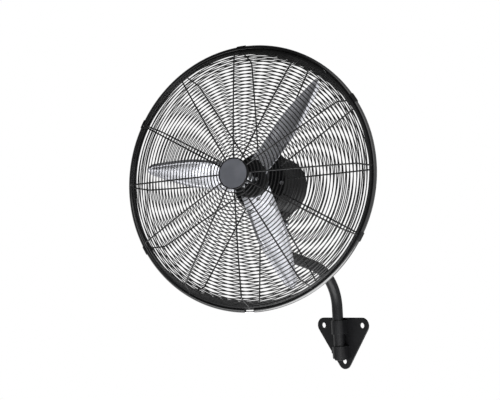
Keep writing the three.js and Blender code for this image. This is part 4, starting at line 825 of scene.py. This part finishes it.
def cage_tree():
    """A node tree that runs rings and spokes of wire along a profile curve."""
    tree = bpy.data.node_groups.new("wire_cage", "GeometryNodeTree")
    tree.is_modifier = True
    sockets = {}
    for name, kind, value in [
        ("Profile", "NodeSocketGeometry", None),
        ("Ring pitch", "NodeSocketFloat", ring_pitch),
        ("Ring wire radius", "NodeSocketFloat", ring_wire_radius),
        ("Spoke wire radius", "NodeSocketFloat", spoke_wire_radius),
        ("Spokes", "NodeSocketInt", spoke_count),
        ("Ring steps", "NodeSocketInt", ring_steps),
        ("Paint", "NodeSocketMaterial", None),
    ]:
        sockets[name] = tree.interface.new_socket(name=name, in_out="INPUT", socket_type=kind)
        if value is not None:
            sockets[name].default_value = value
    tree.interface.new_socket(name="Cage", in_out="OUTPUT", socket_type="NodeSocketGeometry")
    given = added(tree, "NodeGroupInput").outputs

    def made(kind, inputs=None, **settings):
        return added(tree, kind, inputs, **settings).outputs[0]

    def wired(curve, radius, sides):
        """A wire of some sides along a curve."""
        section = made("GeometryNodeCurvePrimitiveCircle", {"Resolution": sides, "Radius": radius})
        return made("GeometryNodeCurveToMesh", {"Curve": curve, "Profile Curve": section, "Fill Caps": True})

    # Rings: a unit circle at every step along the profile, as wide as the profile is from the axis.
    steps = {"Curve": given["Profile"], "Length": given["Ring pitch"]}
    points = made("GeometryNodeCurveToPoints", steps, mode="LENGTH")
    circle = made("GeometryNodeCurvePrimitiveCircle", {"Radius": 1.0, "Resolution": given["Ring steps"]})
    reach = made("ShaderNodeSeparateXYZ", {0: made("GeometryNodeInputPosition")})
    size = made("ShaderNodeCombineXYZ", {"X": reach, "Y": reach, "Z": 1.0})
    rings = made("GeometryNodeInstanceOnPoints", {"Points": points, "Instance": circle, "Scale": size})
    to_axis = made("ShaderNodeCombineXYZ", {"X": maths(tree, "MULTIPLY", reach, -1.0)})
    shift = {"Instances": rings, "Translation": to_axis, "Local Space": False}
    ring_curves = made("GeometryNodeRealizeInstances", {0: made("GeometryNodeTranslateInstances", shift)})
    # Spokes: the profile itself, turned round the axis once for each spoke.
    starts = made("GeometryNodeMeshLine", {"Count": given["Spokes"], "Offset": (0, 0, 0)})
    step = maths(tree, "DIVIDE", tau, given["Spokes"])
    turn = made("ShaderNodeCombineXYZ", {"Z": maths(tree, "MULTIPLY", made("GeometryNodeInputIndex"), step)})
    copies = {"Points": starts, "Instance": given["Profile"], "Rotation": turn}
    spoke_curves = made("GeometryNodeRealizeInstances", {0: made("GeometryNodeInstanceOnPoints", copies)})
    both = added(tree, "GeometryNodeJoinGeometry")
    tree.links.new(wired(ring_curves, given["Ring wire radius"], 6), both.inputs[0])
    tree.links.new(wired(spoke_curves, given["Spoke wire radius"], 8), both.inputs[0])
    real = made("GeometryNodeRealizeInstances", {0: both.outputs[0]})
    painted = made("GeometryNodeSetMaterial", {0: real, "Material": given["Paint"]})
    added(tree, "NodeGroupOutput", {0: painted})
    return tree, sockets


wire_cage, cage_sockets = cage_tree()


def grown(tree, sockets, values, source):
    """The mesh that a node tree grows on a curve or mesh."""
    host = linked("host", source)
    modifier = host.modifiers.new("grow", "NODES")
    modifier.node_group = tree
    for name, value in values.items():
        modifier[sockets[name].identifier] = value
    host.update_tag()
    return evaluated(host)


def profile_curve(points):
    curve = bpy.data.curves.new("profile", "CURVE")
    curve.dimensions = "3D"
    spline = curve.splines.new("POLY")
    spline.points.add(len(points) - 1)
    for point, (r, z) in zip(spline.points, points):
        point.co = (r, 0, z, 1)
    return curve


def shoulder_profile(seat, lip, shoulder, centre, round_radius, crown, steps=16):
    """From the hoop along the side wall, round the shoulder, and over the crowned face."""
    side = Vector(lip) - Vector(shoulder)
    face = Vector(centre) - Vector(shoulder)
    side.normalize()
    reach = face.length
    face.normalize()
    half = side.angle(face) / 2
    cut = round_radius / sin(half) * cos(half)
    start = Vector(shoulder) + side * cut
    end = Vector(shoulder) + face * cut
    middle = Vector(shoulder) + (side + face).normalized() * (round_radius / sin(half))
    bend = []
    for i in range(9):
        t = i / 8
        spoke = (start - middle).lerp(end - middle, t).normalized() * round_radius
        bend.append(tuple(middle + spoke))
    outward = Vector((-face.y, face.x))
    if outward.y * shoulder[1] < 0:
        outward = -outward
    over = []
    for i in range(1, steps + 1):
        t = i / steps
        along = cut + (reach - cut) * t
        over.append(tuple(Vector(shoulder) + face * along + outward * (crown * 4 * t * (1 - t))))
    return [seat, lip, *bend, *over]


# Each guard's end, node and side, the corners of its profile from the hoop in, and its crown.
for end, node, side, corners, crown in [
    ("front", "front_guard", 1, [(0.3415, 0.003), (0.3345, 0.006), (0.314, 0.0515), (0.030, 0.075)], 0.003),
    ("rear", "rear_guard", -1, [(0.3415, 0.003), (0.335, 0.006), (0.323, 0.0655), (0.075, 0.0899)], 0.002),
]:
    profile = shoulder_profile(*[(r, side * z) for r, z in corners], shoulder_round, crown)
    cage = grown(wire_cage, cage_sockets, {"Paint": wire_paint}, profile_curve(profile))
    rims = [turned(ring_of((r, side * z), rim_wire_radius, 8), rim_steps) for r, z in rim_wires]
    on_axis(f"{end}_cage", merged([cage, *rims]), wire_paint, "black_wire", node, crease=70)

# ---- guard mounting ring and bolts -----------------------------------------------------------
# A flat ring that the rear cage is welded to, held on the bell by four zinc hexagon screws.
ring_inside = 0.048
ring_outside = 0.077
ring_back = -0.0937
ring_front = -0.0917
ring_round = 0.0004
bolt_circle = 0.066
first_bolt = -8
ring_screw_radius = 0.003
ring_screw_length = 0.008
ring_screw_round = 0.0003


def washer(inner, outer, back, front, steps):
    """A flat ring."""
    return turned([(inner, back), (outer, back), (outer, front), (inner, front)], steps)


ring = washer(ring_inside, ring_outside, ring_back, ring_front, motor_steps)
on_axis("mounting_ring", ring, black_paint, "black_paint", "guard_mount_ring", ring_round)


def round_axis(radius, degrees, height):
    """A move from the axis out to a radius at an angle, and along it to a height."""
    return Matrix.Translation((radius * cos(radians(degrees)), radius * sin(radians(degrees)), height))


for i in range(4):
    seat = round_axis(bolt_circle, first_bolt + 90 * i, ring_front + seat_gap)
    bolt = placed(hex_bolt(ring_screw_radius, ring_screw_length), seat)
    on_axis(f"ring_screw_{i + 1}", bolt, zinc, "zinc_steel", f"guard_bolt_{i + 1}", ring_screw_round)

# ---- hoop ------------------------------------------------------------------------------------
# A rolled channel that closes over the rims of both cages. Its ends meet at the bottom, where a
# bright screw between two lugs draws them together. Short clips grip it at five places.
hoop_radius = 0.350
hoop_section = 0.0065
hoop_wall = 0.0014
hoop_mouth = 112
hoop_gap = 0.026
hoop_round = 0.0003
lug_offset = 0.0145
lug_half_wall = 0.0015
lug_half_depth = 0.0054
lug_bottom = 0.0012 - hoop_radius
lug_top = -0.3392
closer_above_hoop = 0.0022
closer_radius = 0.0018
closer_half = 0.0128
closer_head_radius = 0.0026
closer_head_span = (0.0095, 0.0126)
closer_nut_corner = 0.0027
closer_nut_span = (-0.0127, -0.0090)
closer_round = 0.0002
clip_angles = [30, 90, 150, 210, 330]
clip_length = 0.024
clip_wall = 0.0016
clip_mouth = 160
clip_round = 0.0004
hoop_paint = coated("hoop_paint", (0.0040, 0.0041, 0.0046, 1), 0.14, 0.05, 0.00002, specular=0.5, gloss=0.5)
section_centre = hoop_radius - hoop_section


def channel(outer, inner, mouth, steps):
    """C-shaped section that opens towards the axis."""
    turn = 180 - mouth / 2
    centre = (section_centre, 0)
    return arc(centre, outer, -turn, turn, steps) + arc(centre, inner, turn, -turn, steps)


gap_turn = hoop_gap / hoop_radius
hoop = turned(channel(hoop_section, hoop_section - hoop_wall, hoop_mouth, 20), 200, tau - gap_turn)
hoop.transform(Matrix.Rotation(-pi / 2 + gap_turn / 2, 4, "Z"))
lugs = [
    box_mesh(
        (side * lug_offset - lug_half_wall, side * lug_offset + lug_half_wall),
        (lug_bottom, lug_top),
        (-lug_half_depth, lug_half_depth),
    )
    for side in (-1, 1)
]
on_axis("hoop_channel", merged([hoop, *lugs]), hoop_paint, "black_paint", "guard_hoop", hoop_round)
bright_steel = metal("bright_steel", (0.55, 0.55, 0.57, 1), 0.22, (700.0, 700.0, 700.0), 0.1)
close_place = Matrix.Translation((0, closer_above_hoop - hoop_radius, 0)) @ sideways
closer_head = bar(closer_head_radius, *closer_head_span, 20)
closer = merged([bar(closer_radius, -closer_half, closer_half, 20), closer_head])
for name, form, node in [
    ("closing_screw", closer, "hoop_bolt"),
    ("closing_nut", bar(closer_nut_corner, *closer_nut_span, 6), "hoop_nut"),
]:
    on_axis(name, placed(form, close_place), bright_steel, "zinc_steel", node, closer_round)

clip_turn = clip_length / hoop_radius
clip_inner = hoop_section + seat_gap
for i, angle in enumerate(clip_angles):
    clip = turned(channel(clip_inner + clip_wall, clip_inner, clip_mouth, 16), 6, clip_turn)
    clip.transform(Matrix.Rotation(radians(angle) - clip_turn / 2, 4, "Z"))
    on_axis(f"clip_{i + 1}", clip, black_paint, "black_paint", f"hoop_clip_{i + 1}", clip_round)

# ---- centre cap ------------------------------------------------------------------------------
# A plain grey disc with a black rim over the hub of the front cage, screwed to a backing plate.
cap_back = 0.0766
cap_front = 0.0812
cap_face_radius = 0.0376
cap_face_round = 0.0006
cap_radius = 0.041
cap_rim_round = 0.0016
backing_hole = 0.003
backing_radius = 0.034
backing_back = 0.071
backing_front = 0.0734
backing_round = 0.0004
cap_screw_length = 0.0072
cap_screw_back = backing_back - seat_gap
small_screw_radius = 0.0025
cap_grey = coated("cap_grey", (0.098, 0.102, 0.116, 1), 0.42, 0.0, 0.00004, 1200.0)
cap_face = turned(
    [(0, cap_back + 0.001), (cap_face_radius - cap_face_round, cap_back + 0.001),
     (cap_face_radius - 0.0002, cap_front - cap_face_round), (cap_face_radius - 0.0008, cap_front),
     (0, cap_front)],
    motor_steps,
)
on_axis("cap_face", cap_face, cap_grey, "grey_cap", "front_cap")
cap_rim = turned(
    [(cap_face_radius, cap_back), (cap_radius - 0.0004, cap_back), (cap_radius, cap_back + 0.0004),
     (cap_radius, cap_front - 0.0022)]
    + arc((cap_radius - cap_rim_round, cap_front - 0.0018), cap_rim_round, 0, 90, 6)
    + [(cap_face_radius, cap_front - 0.0001)],
    motor_steps,
)
on_axis("cap_rim", cap_rim, black_paint, "black_paint", "front_cap")
backing = washer(backing_hole, backing_radius, backing_back, backing_front, 72)
on_axis("cap_backing", backing, black_paint, "black_paint", "cap_backing_plate", backing_round)


def pan_head(radius, length):
    """A pan-head screw: a flat-topped round head above z = 0, and its shank below."""
    dome = [(radius * 1.9, 0)] + arc((radius * 1.1, 0), radius * 0.8, 0, 90, 5) + [(0, radius * 1.1)]
    dome = [(r, min(z, radius * 1.1)) for r, z in dome]
    return turned([(0, -length), (radius, -length), (radius, 0)] + dome, 28)


cap_screw_seat = Matrix.Translation((0, 0, cap_screw_back)) @ Matrix.Rotation(pi, 4, "X")
cap_screw = placed(pan_head(small_screw_radius, cap_screw_length), cap_screw_seat)
on_axis("cap_fixing", cap_screw, zinc, "zinc_steel", "cap_screw")

# ---- hub -------------------------------------------------------------------------------------
# A steel boss on the shaft with a set screw, a spider of three tabs behind the blades and a black
# dished plate in front, all drawn together by three pan-head screws.
first_blade = 50.3
boss_profile = [
    (0.0073, -0.043), (0.0245, -0.043), (0.025, -0.0425), (0.025, -0.0385), (0.0245, -0.038),
    (0.015, -0.038), (0.015, -0.0095), (0.0135, -0.008), (0.0073, -0.008),
]
hub_plate_front = -0.019
hub_plate_profile = [
    (0.0153, -0.021), (0.031, -0.021), (0.035, -0.0218), (0.0492, -0.0240), (0.05, -0.0236), (0.05, -0.0223),
    (0.0488, -0.0218), (0.0355, -0.0194), (0.032, hub_plate_front), (0.0153, hub_plate_front),
]
set_screw_radius = 0.003
set_screw_span = (0.0078, 0.0158)
set_screw_z = -0.015
set_screw_round = 0.0004
hub_screw_circle = 0.024
hub_screw_length = 0.0237
hub_steel = metal("hub_steel", (0.42, 0.43, 0.45, 1), 0.36, (400.0, 400.0, 60.0), 0.25)
set_screw_seat = Matrix.Translation((0, 0, set_screw_z)) @ sideways
set_screw = placed(bar(set_screw_radius, *set_screw_span, 6), set_screw_seat)
hub_pieces = [
    ("boss", turned(boss_profile, 64), hub_steel, "dark_steel", "hub_boss", 0.0),
    ("dished_plate", turned(hub_plate_profile, motor_steps), black_paint, "black_paint", "hub_plate", 0.0),
    ("set_screw", set_screw, zinc, "zinc_steel", "boss_set_screw", set_screw_round),
]
for i in range(3):
    seat = round_axis(hub_screw_circle, first_blade + 60 + 120 * i, hub_plate_front + seat_gap)
    screw = placed(pan_head(small_screw_radius, hub_screw_length), seat)
    hub_pieces.append((f"hub_fixing_{i + 1}", screw, zinc, "zinc_steel", f"hub_screw_{i + 1}", 0.0))
for hub_piece in hub_pieces:
    on_axis(*hub_piece, body="fan_wheel")
finished("blade_spider", hub_steel)

# ---- blades ----------------------------------------------------------------------------------
# Three pressed aluminium blades. Each is pitched and twisted, and a shallow pressed panel leaves
# a narrow margin all round. Three rivets fix each to a tab of the spider.
blade_plane = -0.031
blade_sheet = 0.0016
root_radius = 0.053
tip_radius = 0.311
root_half = 0.039
mid_half = 0.0405
tip_half = 0.013
flat_end = 0.102
widest = 0.160
taper_power = 1.3
root_pitch = 24
tip_pitch = 19
camber = 0.005
tip_round = 0.014
panel_start = 0.115
panel_end = 0.303
panel_margin = 0.008
panel_depth = 0.0016
panel_corner = 0.008
panel_wall = 0.0028
margin_fold = 0.0026
margin_start = 0.03
blade_colour = (0.74, 0.75, 0.80, 1)
blade_roughness = 0.27
blade_streak_scale = (60.0, 60.0, 60.0)
blade_streaks = 0.06
rivet_places = [(0.060, 0.0), (0.086, -0.027), (0.086, 0.027)]
rivet_shank = 0.003
rivet_head = 0.0055
rivet_dome = 0.0018
rivet_tail = -0.0039


def blade_pitch(distance):
    t = max(0.0, (distance - flat_end) / (tip_radius - flat_end))
    return radians(root_pitch + (tip_pitch - root_pitch) * t)


def half_width(distance):
    if distance < widest:
        t = max(0.0, (distance - root_radius) / (widest - root_radius))
        return root_half + (mid_half - root_half) * sin(t * pi / 2)
    t = (distance - widest) / (tip_radius - widest)
    return mid_half + (tip_half - mid_half) * t**taper_power


def on_blade(distance, offset, lift):
    pitch = blade_pitch(distance)
    y = offset * cos(pitch) + lift * sin(pitch)
    z = blade_plane - offset * sin(pitch) + lift * cos(pitch)
    return (distance, y, z)


def smooth(t):
    t = min(1.0, max(0.0, t))
    return t * t * (3 - 2 * t)


def blade_lift(distance, share):
    """Height of the sheet's back face over the flat pitch plane: camber, fold and pressed panel."""
    rise = camber * smooth((distance - flat_end) / (widest - flat_end)) * (1 - share * share)
    from_long_edge = half_width(distance) * (1 - abs(share)) - panel_margin
    from_end = min(distance - panel_start, panel_end - distance)
    out_x = panel_corner - from_end
    out_y = panel_corner - from_long_edge
    edge = hypot(max(out_x, 0), max(out_y, 0)) + min(max(out_x, out_y), 0) - panel_corner
    fold_share = min(1.0, max(0.0, -from_long_edge / panel_margin))
    folded = margin_fold * smooth((distance - root_radius) / margin_start) * fold_share
    return rise - folded - panel_depth * smooth(0.5 - edge / panel_wall)


def blade_mesh(columns=44, rows=132):
    body = bmesh.new()
    layers = []
    for height in (0.0, blade_sheet):
        grid = []
        for i in range(rows + 1):
            t = i / rows
            line = []
            for j in range(columns + 1):
                share = 2 * j / columns - 1
                root = sqrt(root_radius**2 - (share * root_half) ** 2)
                tip = tip_radius - tip_round * abs(share) ** 3
                distance = root + (tip - root) * t
                lift = blade_lift(distance, share) + height
                line.append(body.verts.new(on_blade(distance, share * half_width(distance), lift)))
            grid.append(line)
        layers.append(grid)
    low, high = layers
    for i in range(rows):
        for j in range(columns):
            body.faces.new((high[i][j], high[i + 1][j], high[i + 1][j + 1], high[i][j + 1]))
            body.faces.new((low[i][j], low[i][j + 1], low[i + 1][j + 1], low[i + 1][j]))
    for grid_edge in (
        [(i, 0) for i in range(rows + 1)],
        [(rows, j) for j in range(columns + 1)],
        [(i, columns) for i in range(rows, -1, -1)],
        [(0, j) for j in range(columns, -1, -1)],
    ):
        for (a, b), (c, d) in zip(grid_edge, grid_edge[1:]):
            body.faces.new((low[a][b], low[c][d], high[c][d], high[a][b]))
    return mesh_of(body, "blade")


def rivet_mesh():
    """A domed rivet through blade and tab, from the tab's back to the blade's face."""
    high = blade_sheet + seat_gap
    quarter = [(rivet_head * cos(radians(a)), rivet_dome * sin(radians(a))) for a in range(0, 91, 15)]
    dome = [(r, high + z) for r, z in quarter]
    tail = [(r, rivet_tail - z) for r, z in reversed(quarter)]
    return turned(tail + [(rivet_shank, rivet_tail), (rivet_shank, high)] + dome, 24)


for i in range(3):
    turn = Matrix.Rotation(radians(first_blade + 120 * i), 4, "Z")
    name = f"blade_metal_{i + 1}"
    blade_metal = metal(name, blade_colour, blade_roughness, blade_streak_scale, blade_streaks)
    name = f"pressed_blade_{i + 1}"
    blade = placed(blade_mesh(), turn)
    on_axis(name, blade, blade_metal, "blade_aluminium", f"blade_{i + 1}", crease=50, body="fan_wheel")
    for k, (distance, offset) in enumerate(rivet_places):
        lean = Matrix.Rotation(-blade_pitch(distance), 4, "X")
        seat = Matrix.Translation(on_blade(distance, offset, 0)) @ lean
        rivet = placed(rivet_mesh(), turn @ seat)
        node = f"blade_{i + 1}_rivet_{k + 1}"
        on_axis(f"rivet_{i + 1}_{k + 1}", rivet, zinc, "zinc_steel", node, body="fan_wheel")
